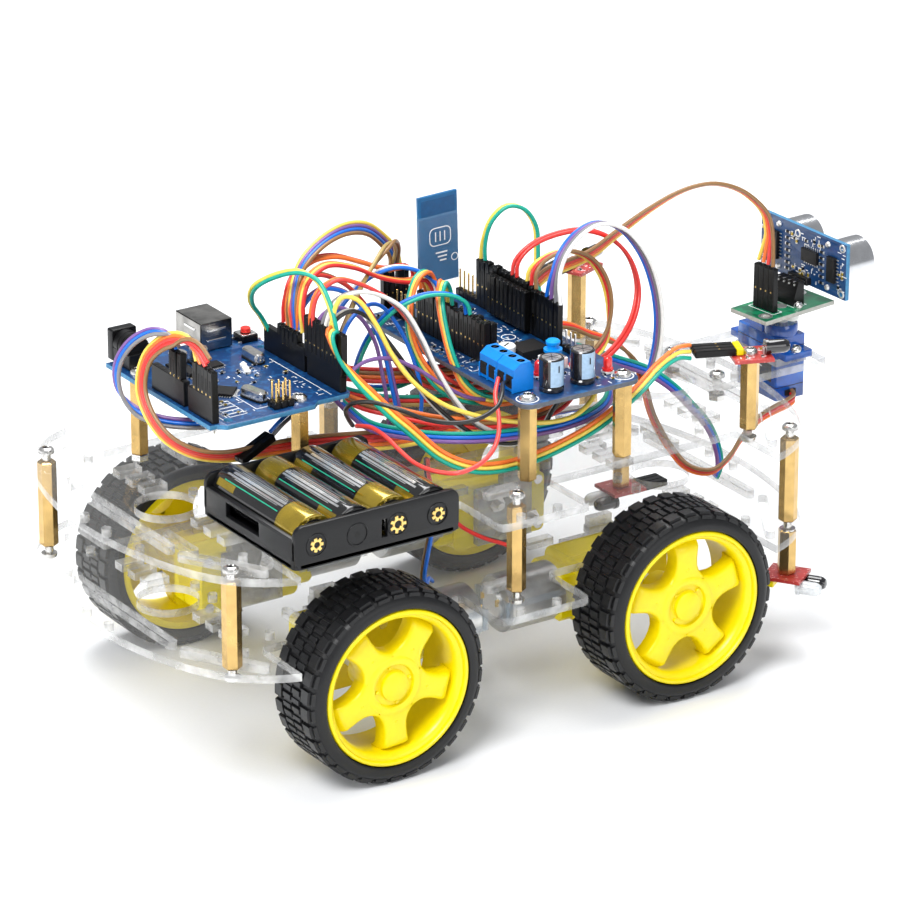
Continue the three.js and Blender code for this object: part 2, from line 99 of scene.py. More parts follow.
def area_light(name, place, size, power, colour=(1, 1, 1)):
    data = bpy.data.lights.new(name, "AREA")
    data.shape, data.size, data.energy, data.color = "SQUARE", size, power, colour
    light = bpy.data.objects.new(name, data)
    bpy.context.scene.collection.objects.link(light)
    look(light, place, (0, 0, 0.05))


def make_studio():
    scene = bpy.context.scene
    scene.view_settings.view_transform = "Standard"
    world = bpy.data.worlds.new("studio")
    world.use_nodes = True
    world.node_tree.nodes["Background"].inputs[0].default_value = (0.95, 0.97, 1, 1)
    world.node_tree.nodes["Background"].inputs[1].default_value = 0.42
    scene.world = world
    area_light("key", (-0.75, -0.55, 1.15), 0.55, 17)
    area_light("top", (0.35, 0.45, 1.5), 1.1, 27)
    area_light("left", (-1.4, 0.2, 0.6), 0.6, 6)
    area_light("front", (0.2, -1.3, 0.5), 0.7, 3.5)
    bpy.ops.mesh.primitive_plane_add(size=14)
    floor = bpy.context.object
    floor.name = "floor"
    floor.data.materials.append(surface("floor_paper", (0.86, 0.87, 0.88), 0.75, vary=0.01))


# ---- materials ----

made_materials = {}


def surface(name, colour, rough, metal=0.0, vary=0.08, grain=900, bump=0.0, alpha=1.0,
            coat=0.0, specular=0.5, second=None, mix_scale=200, mix_width=0.05, mix_at=0.55):
    """A principled material whose colour, roughness and relief vary with noise in object space."""
    if name in made_materials:
        return made_materials[name]
    material = bpy.data.materials.new(name)
    material.use_nodes = True
    tree = material.node_tree
    shader = tree.nodes["Principled BSDF"]
    shader.inputs["Metallic"].default_value = metal
    shader.inputs["Coat Weight"].default_value = coat
    shader.inputs["Specular IOR Level"].default_value = specular
    shader.inputs["Alpha"].default_value = alpha
    place = tree.nodes.new("ShaderNodeTexCoord")
    noise = tree.nodes.new("ShaderNodeTexNoise")
    noise.inputs["Scale"].default_value = grain
    noise.inputs["Detail"].default_value = 4
    tree.links.new(place.outputs["Object"], noise.inputs["Vector"])
    tone = tree.nodes.new("ShaderNodeValToRGB")
    tone.color_ramp.elements[0].position, tone.color_ramp.elements[1].position = 0.3, 0.7
    tone.color_ramp.elements[0].color = (*[c * (1 - vary) for c in colour], 1)
    tone.color_ramp.elements[1].color = (*[min(1, c * (1 + vary)) for c in colour], 1)
    tree.links.new(noise.outputs["Fac"], tone.inputs["Fac"])
    out = tone.outputs["Color"]
    if second:
        patch = tree.nodes.new("ShaderNodeTexNoise")
        patch.inputs["Scale"].default_value = mix_scale
        tree.links.new(place.outputs["Object"], patch.inputs["Vector"])
        edge = tree.nodes.new("ShaderNodeValToRGB")
        edge.color_ramp.elements[0].position = mix_at
        edge.color_ramp.elements[1].position = mix_at + mix_width
        tree.links.new(patch.outputs["Fac"], edge.inputs["Fac"])
        blend = tree.nodes.new("ShaderNodeMix")
        blend.data_type = "RGBA"
        tree.links.new(edge.outputs["Color"], blend.inputs["Factor"])
        tree.links.new(out, blend.inputs["A"])
        blend.inputs["B"].default_value = (*second, 1)
        out = blend.outputs["Result"]
    tree.links.new(out, shader.inputs["Base Color"])
    spread = tree.nodes.new("ShaderNodeMapRange")
    spread.inputs["To Min"].default_value = max(0.02, rough * 0.85)
    spread.inputs["To Max"].default_value = min(1, rough * 1.15)
    tree.links.new(noise.outputs["Fac"], spread.inputs["Value"])
    tree.links.new(spread.outputs["Result"], shader.inputs["Roughness"])
    if bump:
        relief = tree.nodes.new("ShaderNodeBump")
        relief.inputs["Strength"].default_value = bump
        relief.inputs["Distance"].default_value = 0.0003
        tree.links.new(noise.outputs["Fac"], relief.inputs["Height"])
        tree.links.new(relief.outputs["Normal"], shader.inputs["Normal"])
    made_materials[name] = material
    return material


ACRYLIC = surface("acrylic_face", (0.3, 0.3, 0.29), 0.03, alpha=0.14, vary=0.03, grain=60,
                  specular=0.8, coat=0.6)
ACRYLIC_EDGE = surface("acrylic_edge", (0.5, 0.5, 0.49), 0.08, alpha=0.5, vary=0.6, grain=130,
                       specular=0.9, coat=0.8)
BRASS = surface("brass", (0.6, 0.4, 0.15), 0.26, metal=0.95, vary=0.14, grain=260, bump=0.06)
STEEL = surface("steel", (0.72, 0.71, 0.69), 0.24, metal=1, vary=0.1, grain=500, bump=0.05)
TIN = surface("tinned_plate", (0.36, 0.35, 0.33), 0.22, metal=1, vary=0.35, grain=160, bump=0.08)
SOLDER = surface("solder", (0.75, 0.75, 0.74), 0.3, metal=0.9, vary=0.1, grain=900)
GOLD = surface("gold_pin", (0.85, 0.6, 0.22), 0.25, metal=1, vary=0.08)
BRIGHT_BRASS = surface("rivet_brass", (0.85, 0.6, 0.2), 0.28, metal=1, vary=0.2, grain=700)
YELLOW = surface("yellow_moulding", (0.84, 0.68, 0.0), 0.32, vary=0.03, grain=600, bump=0.05)
RUBBER = surface("tyre_rubber", (0.005, 0.0052, 0.006), 0.36, vary=0.3, grain=1400, bump=0.1,
                 specular=0.42)
SIDEWALL = surface("tyre_sidewall", (0.006, 0.0062, 0.007), 0.4, vary=0.2, grain=1800, bump=0.06,
                   specular=0.35)
WHITE = surface("white_moulding", (0.82, 0.82, 0.79), 0.4, vary=0.03)
HEADER = surface("header_plastic", (0.003, 0.003, 0.0034), 0.34, vary=0.3, grain=1500, bump=0.04,
                 specular=0.28)
PLUG = surface("plug_plastic", (0.003, 0.003, 0.003), 0.3, vary=0.3, grain=1500, bump=0.04,
               specular=0.28)
TRAY = surface("tray_plastic", (0.004, 0.0042, 0.005), 0.33, vary=0.25, grain=2400, bump=0.1,
               specular=0.35)
# Painted shade: near-black laid in holes, slots, sockets and grooves where shade falls. It is also
# used for a few real dark marks: a printed minus sign and the servo case seams.
PAINTED_SHADE_AND_MARKS = surface("painted_shade_and_dark_marks", (0.003, 0.003, 0.003), 0.7, vary=0.3)
BLUE_BOARD = surface("blue_solder_mask", (0.004, 0.042, 0.15), 0.3, vary=0.12, grain=500,
                     coat=0.2, second=(0.008, 0.085, 0.25), mix_scale=420, mix_at=0.55)
DRIVER_BOARD = surface("driver_solder_mask", (0.004, 0.04, 0.14), 0.32, vary=0.12, grain=500,
                       coat=0.2, second=(0.008, 0.09, 0.25), mix_scale=300, mix_at=0.57)
BLUE_EDGE = surface("blue_board_edge", (0.04, 0.2, 0.38), 0.45, vary=0.2, grain=900)
GREY_EDGE = surface("grey_board_edge", (0.09, 0.1, 0.12), 0.5, vary=0.2, grain=900)
SONAR_BOARD = surface("sonar_solder_mask", (0.006, 0.045, 0.15), 0.3, vary=0.15, grain=600,
                      coat=0.3)
GREEN_BOARD = surface("green_solder_mask", (0.0, 0.17, 0.07), 0.35, vary=0.12, grain=500,
                      coat=0.2, second=(0.0, 0.1, 0.045), mix_scale=160, mix_at=0.5)
PALE_EDGE = surface("pale_board_edge", (0.42, 0.42, 0.38), 0.6, vary=0.1)
RED_BOARD = surface("red_solder_mask", (0.42, 0.03, 0.025), 0.35, vary=0.15, grain=600,
                    coat=0.3, second=(0.7, 0.3, 0.28), mix_scale=900, mix_at=0.62)
PRINT = surface("board_print", (0.85, 0.87, 0.88), 0.5, vary=0.04)
EPOXY = surface("chip_epoxy", (0.005, 0.005, 0.0055), 0.4, vary=0.25, grain=2500, bump=0.08,
                specular=0.3)
SLEEVE_BLACK = surface("capacitor_sleeve", (0.012, 0.012, 0.014), 0.16, vary=0.2, coat=0.8)
SLEEVE_STRIPE = surface("capacitor_stripe", (0.3, 0.45, 0.62), 0.2, vary=0.1, coat=0.6)
TERMINAL = surface("terminal_plastic", (0.0, 0.21, 0.72), 0.36, vary=0.06, grain=500)
SWITCH_CAP = surface("switch_cap", (0.0, 0.3, 0.85), 0.32, vary=0.05)
SERVO_CASE = surface("servo_case", (0.004, 0.07, 0.36), 0.1, vary=0.4, grain=120, alpha=0.95,
                     coat=0.9, second=(0.004, 0.2, 0.75), mix_scale=90, mix_width=0.25)
RED = surface("red_moulding", (0.75, 0.03, 0.02), 0.3, vary=0.05)
LAMP = surface("red_lamp", (0.8, 0.02, 0.015), 0.12, vary=0.05, coat=1)
BULB = surface("dark_bulb", (0.004, 0.004, 0.006), 0.08, vary=0.3, coat=1)
CLEAR_BULB = surface("clear_bulb", (0.75, 0.78, 0.8), 0.08, vary=0.1, alpha=0.75, coat=1)
CAN = surface("sonar_can", (0.66, 0.67, 0.69), 0.2, metal=1, vary=0.06, grain=300, bump=0.03)
MESH = surface("sonar_mesh", (0.05, 0.05, 0.055), 0.5, metal=0.4, vary=0.7, grain=1500, bump=0.5)
MOTOR_CAN = surface("motor_can", (0.55, 0.55, 0.54), 0.3, metal=1, vary=0.15, grain=300, bump=0.05)
SHRINK = surface("clear_sleeve", (0.4, 0.55, 0.7), 0.12, alpha=0.16, vary=0.2, grain=120,
                 coat=0.8, bump=0.1)
MODULE = surface("module_blue", (0.004, 0.12, 0.3), 0.4, vary=0.1, grain=400)
MODULE_DARK = surface("module_dark", (0.003, 0.085, 0.23), 0.4, vary=0.1, grain=400)
CELL_BLACK = surface("cell_black", (0.012, 0.012, 0.012), 0.14, metal=0.5, vary=0.5, grain=40,
                     coat=1)
CELL_GOLD = surface("cell_gold", (0.4, 0.28, 0.02), 0.2, metal=0.75, vary=0.3, grain=90, coat=0.8)
# Painted highlight: silver streaks that stand in for reflections on the cells' glossy wraps.
CELL_PAINTED_HIGHLIGHT = surface("cell_painted_highlight", (0.75, 0.76, 0.77), 0.22, metal=0.8, vary=0.4, grain=60)
CELL_GREEN = surface("cell_green", (0.02, 0.4, 0.24), 0.3, metal=0.3, vary=0.1)

WIRE_COLOURS = {
    "black": (0.01, 0.01, 0.01), "white": (0.8, 0.8, 0.78), "grey": (0.2, 0.2, 0.21),
    "purple": (0.19, 0.09, 0.3), "blue": (0.0, 0.14, 0.66), "teal": (0.0, 0.36, 0.26),
    "yellow": (0.9, 0.68, 0.1), "orange": (0.9, 0.19, 0.03), "red": (0.72, 0.03, 0.025),
    "pink": (0.8, 0.06, 0.05), "brown": (0.27, 0.14, 0.05), "khaki": (0.42, 0.3, 0.1),
}
WIRES = {
    name: surface("wire_" + name, colour, 0.34, vary=0.06, grain=700, bump=0.03, coat=0.15)
    for name, colour in WIRE_COLOURS.items()
}


# ---- drawing ----


def at(x, y, z, turn=0.0):
    return Matrix.Translation((x, y, z)) @ Matrix.Rotation(math.radians(turn), 4, "Z")


def node_box(name):
    """A frame node's low and high corners, in millimetres."""
    back = TO_FRAME.inverted()
    low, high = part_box(name)
    return back @ low, back @ high


def facing(x, y, z, direction):
    """Local +Z along a direction."""
    turn = Vector(direction).to_track_quat("Z", "Y").to_matrix().to_4x4()
    return Matrix.Translation((x, y, z)) @ turn


class Piece:
    """One object under construction, drawn from many closed shapes."""

    def __init__(self, name, base=None):
        self.name, self.base = name, base or Matrix()
        self.bm, self.materials = bmesh.new(), []

    def index(self, material):
        if material not in self.materials:
            self.materials.append(material)
        return self.materials.index(material)

    def add(self, verts, faces, material, here=None):
        place = self.base @ (here or Matrix())
        made = [self.bm.verts.new(place @ Vector(v)) for v in verts]
        number = self.index(material)
        for face in faces:
            try:
                self.bm.faces.new([made[i] for i in face]).material_index = number
            except ValueError:
                pass
        return self

    def box(self, x, y, z, sx, sy, sz, material, bevel=0.2, turn=0, here=None):
        """A box with chamfered edges, given by its middle."""
        hx, hy, hz = sx / 2, sy / 2, sz / 2
        b = min(bevel, hx * 0.9, hy * 0.9, hz * 0.9)
        verts, index = [], {}
        for a in (-1, 1):
            for c in (-1, 1):
                for d in (-1, 1):
                    index[a, c, d] = len(verts)
                    verts += [(a * hx, c * (hy - b), d * (hz - b)),
                              (a * (hx - b), c * hy, d * (hz - b)),
                              (a * (hx - b), c * (hy - b), d * hz)]
        faces = [[index[k] + 0, index[k] + 1, index[k] + 2] for k in index]
        signs = [(-1, -1), (1, -1), (1, 1), (-1, 1)]
        for s in (-1, 1):
            faces.append([index[s, p, q] for p, q in signs])
            faces.append([index[p, s, q] + 1 for p, q in signs])
            faces.append([index[p, q, s] + 2 for p, q in signs])
        for p, q in signs:
            faces.append([index[p, q, -1], index[p, q, 1], index[p, q, 1] + 1,
                          index[p, q, -1] + 1])
            faces.append([index[p, -1, q], index[p, 1, q], index[p, 1, q] + 2,
                          index[p, -1, q] + 2])
            faces.append([index[-1, p, q] + 1, index[1, p, q] + 1,
                          index[1, p, q] + 2, index[-1, p, q] + 2])
        spot = (here or Matrix()) @ at(x, y, z, turn)
        return self.add(verts, faces, material, spot)

    def lathe(self, profile, material, here=None, sides=24, phase=0.0):
        """A turned shape about local Z from (radius, z) points, from axis to axis or closed."""
        verts, rows = [], []
        closed = profile[0] == profile[-1]
        for r, z in profile[:-1] if closed else profile:
            if r < 1e-6:
                rows.append([len(verts)] * sides)
                verts.append((0, 0, z))
            else:
                rows.append(list(range(len(verts), len(verts) + sides)))
                for i in range(sides):
                    angle = 2 * math.pi * (i + phase) / sides
                    verts.append((r * math.cos(angle), r * math.sin(angle), z))
        if closed:
            rows.append(rows[0])
        faces = []
        for low, high in zip(rows, rows[1:]):
            for i in range(sides):
                j = (i + 1) % sides
                face = list(dict.fromkeys([low[i], low[j], high[j], high[i]]))
                if len(face) > 2:
                    faces.append(face)
        return self.add(verts, faces, material, here)

    def rod(self, x, y, z, r, height, material, bevel=0.15, sides=20, here=None, phase=0.0):
        """An upright cylinder standing on z, with chamfered ends."""
        b = min(bevel, r * 0.5, height * 0.45)
        profile = [(0, 0), (r - b, 0), (r, b), (r, height - b), (r - b, height), (0, height)]
        spot = (here or Matrix()) @ Matrix.Translation((x, y, z))
        return self.lathe(profile, material, spot, sides, phase)

    def prism(self, points, z, height, material, bevel=0.0, here=None):
        """A filled outline extruded upwards from z, its top edge chamfered."""
        rings = [(points, z), (points, z + height - bevel)]
        if bevel:
            rings.append((inset(points, bevel), z + height))
        verts = [(p[0], p[1], level) for ring, level in rings for p in ring]
        n = len(points)
        faces = [list(range(n)), list(range((len(rings) - 1) * n, len(rings) * n))]
        for k in range(len(rings) - 1):
            for i in range(n):
                j = (i + 1) % n
                faces.append([k * n + i, k * n + j, (k + 1) * n + j, (k + 1) * n + i])
        return self.add(verts, faces, material, here)

    def plate(self, outline, holes, z, thickness, face, edge, bevel=0.15, here=None):
        """A flat plate with holes: its faces in one material and its cut edges in another."""
        curve = bpy.data.curves.new("plate", "CURVE")
        curve.dimensions, curve.fill_mode = "2D", "BOTH"
        curve.extrude, curve.bevel_depth = thickness / 2 - bevel, bevel
        curve.bevel_resolution, curve.offset = 1, -bevel
        for loop in [outline, *holes]:
            spline = curve.splines.new("POLY")
            spline.points.add(len(loop) - 1)
            for point, (x, y) in zip(spline.points, loop):
                point.co = (x, y, 0, 1)
            spline.use_cyclic_u = True
        holder = bpy.data.objects.new("plate", curve)
        bpy.context.scene.collection.objects.link(holder)
        shape = holder.evaluated_get(bpy.context.evaluated_depsgraph_get()).to_mesh()
        part = bmesh.new()
        part.from_mesh(shape)
        bmesh.ops.remove_doubles(part, verts=part.verts, dist=0.002)
        part.normal_update()
        part.verts.index_update()
        place = self.base @ (here or Matrix())
        rise = Vector((0, 0, z + thickness / 2))
        made = [self.bm.verts.new(place @ (v.co + rise)) for v in part.verts]
        for flat, material in ((True, face), (False, edge)):
            number = self.index(material)
            for f in part.faces:
                if (abs(f.normal.z) > 0.8) == flat:
                    try:
                        new = self.bm.faces.new([made[v.index] for v in f.verts])
                        new.material_index = number
                    except ValueError:
                        pass
        part.free()
        bpy.data.objects.remove(holder)
        bpy.data.curves.remove(curve)
        return self

    def tube(self, path, radius, material, sides=8):
        """A round tube along close-set points."""
        rows, verts = [], []
        up = Vector((0.3, 0.2, 0.9)).normalized()
        for i, p in enumerate(path):
            ahead = (path[min(i + 1, len(path) - 1)] - path[max(i - 1, 0)]).normalized()
            across = ahead.cross(up)
            if across.length < 1e-3:
                across = ahead.orthogonal()
            across.normalize()
            up = across.cross(ahead).normalized()
            rows.append(list(range(len(verts), len(verts) + sides)))
            for k in range(sides):
                angle = 2 * math.pi * k / sides
                verts.append(p + radius * (across * math.cos(angle) + up * math.sin(angle)))
        faces = [list(reversed(rows[0])), rows[-1]]
        for low, high in zip(rows, rows[1:]):
            for k in range(sides):
                j = (k + 1) % sides
                faces.append([low[k], low[j], high[j], high[k]])
        return self.add(verts, faces, material)

    def done(self, body, replaces=(), smooth=32):
        """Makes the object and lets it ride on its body."""
        bmesh.ops.recalc_face_normals(self.bm, faces=self.bm.faces)
        self.bm.transform(TO_FRAME)
        mesh = bpy.data.meshes.new(self.name)
        self.bm.to_mesh(mesh)
        self.bm.free()
        for material in self.materials:
            mesh.materials.append(material)
        mesh.polygons.foreach_set("use_smooth", [True] * len(mesh.polygons))
        mesh.set_sharp_from_angle(angle=math.radians(smooth))
        obj = bpy.data.objects.new(self.name, mesh)
        bpy.context.scene.collection.objects.link(obj)
        if body:
            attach(obj, body)
        if replaces:
            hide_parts(*replaces)
        return obj


def inset(points, distance):
    """A convex-ish outline moved inwards by a distance."""
    n = len(points)
    area = sum(points[i][0] * points[(i + 1) % n][1] - points[(i + 1) % n][0] * points[i][1]
               for i in range(n))
    sign = 1 if area > 0 else -1
    moved = []
    for i, p in enumerate(points):
        a = (Vector(p) - Vector(points[i - 1])).normalized()
        b = (Vector(points[(i + 1) % n]) - Vector(p)).normalized()
        normal = Vector((-(a.y + b.y), a.x + b.x)) * sign
        if normal.length < 1e-6:
            moved.append(tuple(p))
            continue
        normal.normalize()
        lean = max(0.4, Vector((-a.y * sign, a.x * sign)).dot(normal))
        moved.append(tuple(Vector(p) + normal * (distance / lean)))
    return moved


def circle(x, y, r, count=24, start=0.0, stop=360.0):
    steps = [math.radians(start + (stop - start) * i / count) for i in range(count)]
    return [(x + r * math.cos(a), y + r * math.sin(a)) for a in steps]


def rectangle(x, y, width, depth):
    w, d = width / 2, depth / 2
    return [(x - w, y - d), (x + w, y - d), (x + w, y + d), (x - w, y + d)]


def rounded(x, y, width, depth, r, steps=4):
    points = []
    for cx, cy, start in ((1, 1, 0), (-1, 1, 90), (-1, -1, 180), (1, -1, 270)):
        px, py = x + cx * (width / 2 - r), y + cy * (depth / 2 - r)
        for i in range(steps + 1):
            a = math.radians(start + 90 * i / steps)
            points.append((px + r * math.cos(a), py + r * math.sin(a)))
    return points


def slot_loop(x0, y0, x1, y1, width, steps=6):
    along = math.atan2(y1 - y0, x1 - x0)
    points = []
    for x, y, start in ((x1, y1, along - math.pi / 2), (x0, y0, along + math.pi / 2)):
        for i in range(steps + 1):
            a = start + math.pi * i / steps
            points.append((x + width / 2 * math.cos(a), y + width / 2 * math.sin(a)))
    return points


def bezier(a, b, c, d, count):
    points = []
    for i in range(count):
        t = i / count
        s = 1 - t
        points.append(tuple(s**3 * p + 3 * s * s * t * q + 3 * s * t * t * r + t**3 * e
                            for p, q, r, e in zip(a, b, c, d)))
    return points


def smooth_path(points, spacing=1.6):
    """Close-set points along a centripetal spline through given points."""
    places = [Vector(p) for p in points]
    places = [2 * places[0] - places[1], *places, 2 * places[-1] - places[-2]]
    path = []
    for i in range(1, len(places) - 2):
        p = places[i - 1:i + 3]
        knots = [0.0]
        for a, b in zip(p, p[1:]):
            knots.append(knots[-1] + max(1e-4, (b - a).length ** 0.5))
        t0, t1, t2, t3 = knots
        count = max(2, round((p[2] - p[1]).length / spacing))
        for k in range(count):
            t = t1 + (t2 - t1) * k / count
            a1 = p[0] * ((t1 - t) / (t1 - t0)) + p[1] * ((t - t0) / (t1 - t0))
            a2 = p[1] * ((t2 - t) / (t2 - t1)) + p[2] * ((t - t1) / (t2 - t1))
            a3 = p[2] * ((t3 - t) / (t3 - t2)) + p[3] * ((t - t2) / (t3 - t2))
            b1 = a1 * ((t2 - t) / (t2 - t0)) + a2 * ((t - t0) / (t2 - t0))
            b2 = a2 * ((t3 - t) / (t3 - t1)) + a3 * ((t - t1) / (t3 - t1))
            path.append(b1 * ((t2 - t) / (t2 - t1)) + b2 * ((t - t1) / (t2 - t1)))
    path.append(places[-2].copy())
    return path


# ---- wires ----

STRAND = 0.7  # radius of one wire
PITCH = 1.38


def wire(name, colours, points, start=(0, 1, 0), end=None, fan=(1, 1),
         replaces=(), radius=STRAND, body="chassis"):
    """Wires side by side along one route, made as one object."""
    path = smooth_path(points)
    last = len(path) - 1
    a, b = Vector(start).normalized(), Vector(end or start).normalized()
    piece = Piece(name)
    strands = [[] for _ in colours]
    pitch = PITCH * radius / STRAND
    for i, p in enumerate(path):
        t = i / last
        ahead = (path[min(i + 1, last)] - path[max(i - 1, 0)]).normalized()
        across = a.lerp(b, t)
        across = (across - ahead * across.dot(ahead)).normalized()
        near, far = max(0, 1 - i / 6), max(0, 1 - (last - i) / 6)
        gap = pitch * (1 + (fan[0] - 1) * near + (fan[1] - 1) * far)
        for k, strand in enumerate(strands):
            strand.append(p + across * ((k - (len(colours) - 1) / 2) * gap))
    for colour, strand in zip(colours, strands):
        piece.tube(strand, radius, WIRES[colour], sides=8)
    obj = piece.done(body, replaces, smooth=60)
    return obj


def frame_leads():
    """The leads that are parts of the frame, on the frame's own routes."""
    sonar = [
        (135.9, -5.8, 115.9), (136.6, -5.9, 121), (137, -6, 126), (135, -6, 134), (129, -5, 141),
        (123, -4, 145), (115, -3, 147.6), (108, -2, 147.6), (101, -1, 146), (91, 0, 142),
        (80, 2, 135.6), (70, 3, 130), (61, 4, 127.5), (54, 4, 126.6), (49, 4, 124),
    ]
    ribbon = wire("sonar_wires", ["yellow", "orange", "pink", "brown"], sonar, start=(0, -1, 0),
                  end=(-0.6, -0.2, 0.8), fan=(2, 1), replaces=["sonar_ribbon"], body=None)
    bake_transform(ribbon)
    servo = [
        (143.3, -12, 69), (142.6, -14.5, 68.4), (138, -17, 68.2), (131, -19, 68),
        (121.5, -22, 67), (113, -25, 63.5), (107, -26, 58), (101, -24.5, 54), (96, -18, 54.4),
        (94, -9, 60), (93.6, 0, 68), (93.6, 5, 77), (92, 8, 85), (86, 11, 92), (76, 13, 97),
    ]
    wire("servo_wires", ["brown", "red", "orange"], servo, start=(0, 0, -1), end=(0, 1, 0.4),
         replaces=["servo_lead"])
    front = [
        (56, 8, 100), (62, 8, 97.4), (70, 7, 94), (82, 5.4, 88.4), (93, 1, 83.4),
        (99.4, -3.6, 78), (103, -9, 72.6), (106.6, -14.6, 66), (108.6, -17.6, 58),
        (108.4, -19, 52.4), (106, -20, 49.2),
    ]
    wire("front_sensor_wires", ["purple", "blue", "teal"], front, start=(0, 0.4, 1),
         end=(1, 0.4, 0), replaces=["front_sensor_ribbon"])
    infrared = [
        (79.4, -41.1, 107.2), (75, -40.6, 107.6), (68.6, -40, 104.6), (59.3, -39.6, 97.3),
        (44.2, -39.6, 89), (28.4, -39.6, 84.4), (16.6, -39.6, 82.6), (4.9, -39.6, 82.4),
        (-5.4, -38.6, 84.4), (-15, -35.6, 89.6), (-23.3, -30, 98.6),
    ]
    wire("infrared_sensor_wires", ["teal", "yellow", "orange"], infrared, start=(0.4, 0.3, 1),
         end=(0.3, 0.3, 1), fan=(1.6, 1), replaces=["infrared_sensor_ribbon"])
    supply = [
        (-86.6, -9, 127), (-87, -3.6, 131.4), (-88, 4, 132), (-90, 12, 129), (-93, 17.6, 122),
        (-95.4, 17, 113), (-95.6, 11, 105), (-93, 4, 99), (-87, -1.6, 95), (-79, -4.4, 93),
        (-66, -5.4, 92), (-54, -5.4, 91), (-40, -5.2, 89), (-26, -5, 86.6), (-12, -5, 84.6),
        (2, -5, 84), (16, -5, 84.6),
    ]
    wire("controller_wires", ["yellow", "orange", "pink", "red", "brown"], supply,
         start=(0, -1, 0), end=(0, 0.6, 1), fan=(1.8, 1), replaces=["controller_ribbon"])
    black = [
        (-34, -12.4, 96.4), (-38, -16, 101), (-42, -21, 106.4), (-43.4, -28, 111.4),
        (-41, -35, 113.6), (-36, -42, 112.6), (-28, -48, 109), (-20, -51.6, 107.4),
        (-12, -53, 107.6), (-4, -51.6, 109.6), (1, -47, 111.6), (5, -41.4, 112),
        (8.6, -38.4, 111),
    ]
    wire("battery_wire_black", ["black"], black, radius=0.75,
         replaces=["battery_lead_black"])
    red = [
        (-34, -14.6, 97), (-32.6, -21, 98.4), (-32.6, -30, 98.2), (-33.4, -40, 96.8),
        (-34, -50, 96), (-33, -60, 96.6), (-29, -66.6, 97.4), (-22, -67, 98.4), (-14, -63, 99.6),
        (-7, -56.6, 101.6), (-1, -48, 104.4), (3.6, -39, 107.6), (8.6, -33.4, 110.6),
    ]
    wire("battery_wire_red", ["pink"], red, radius=0.75,
         replaces=["battery_lead_red"])


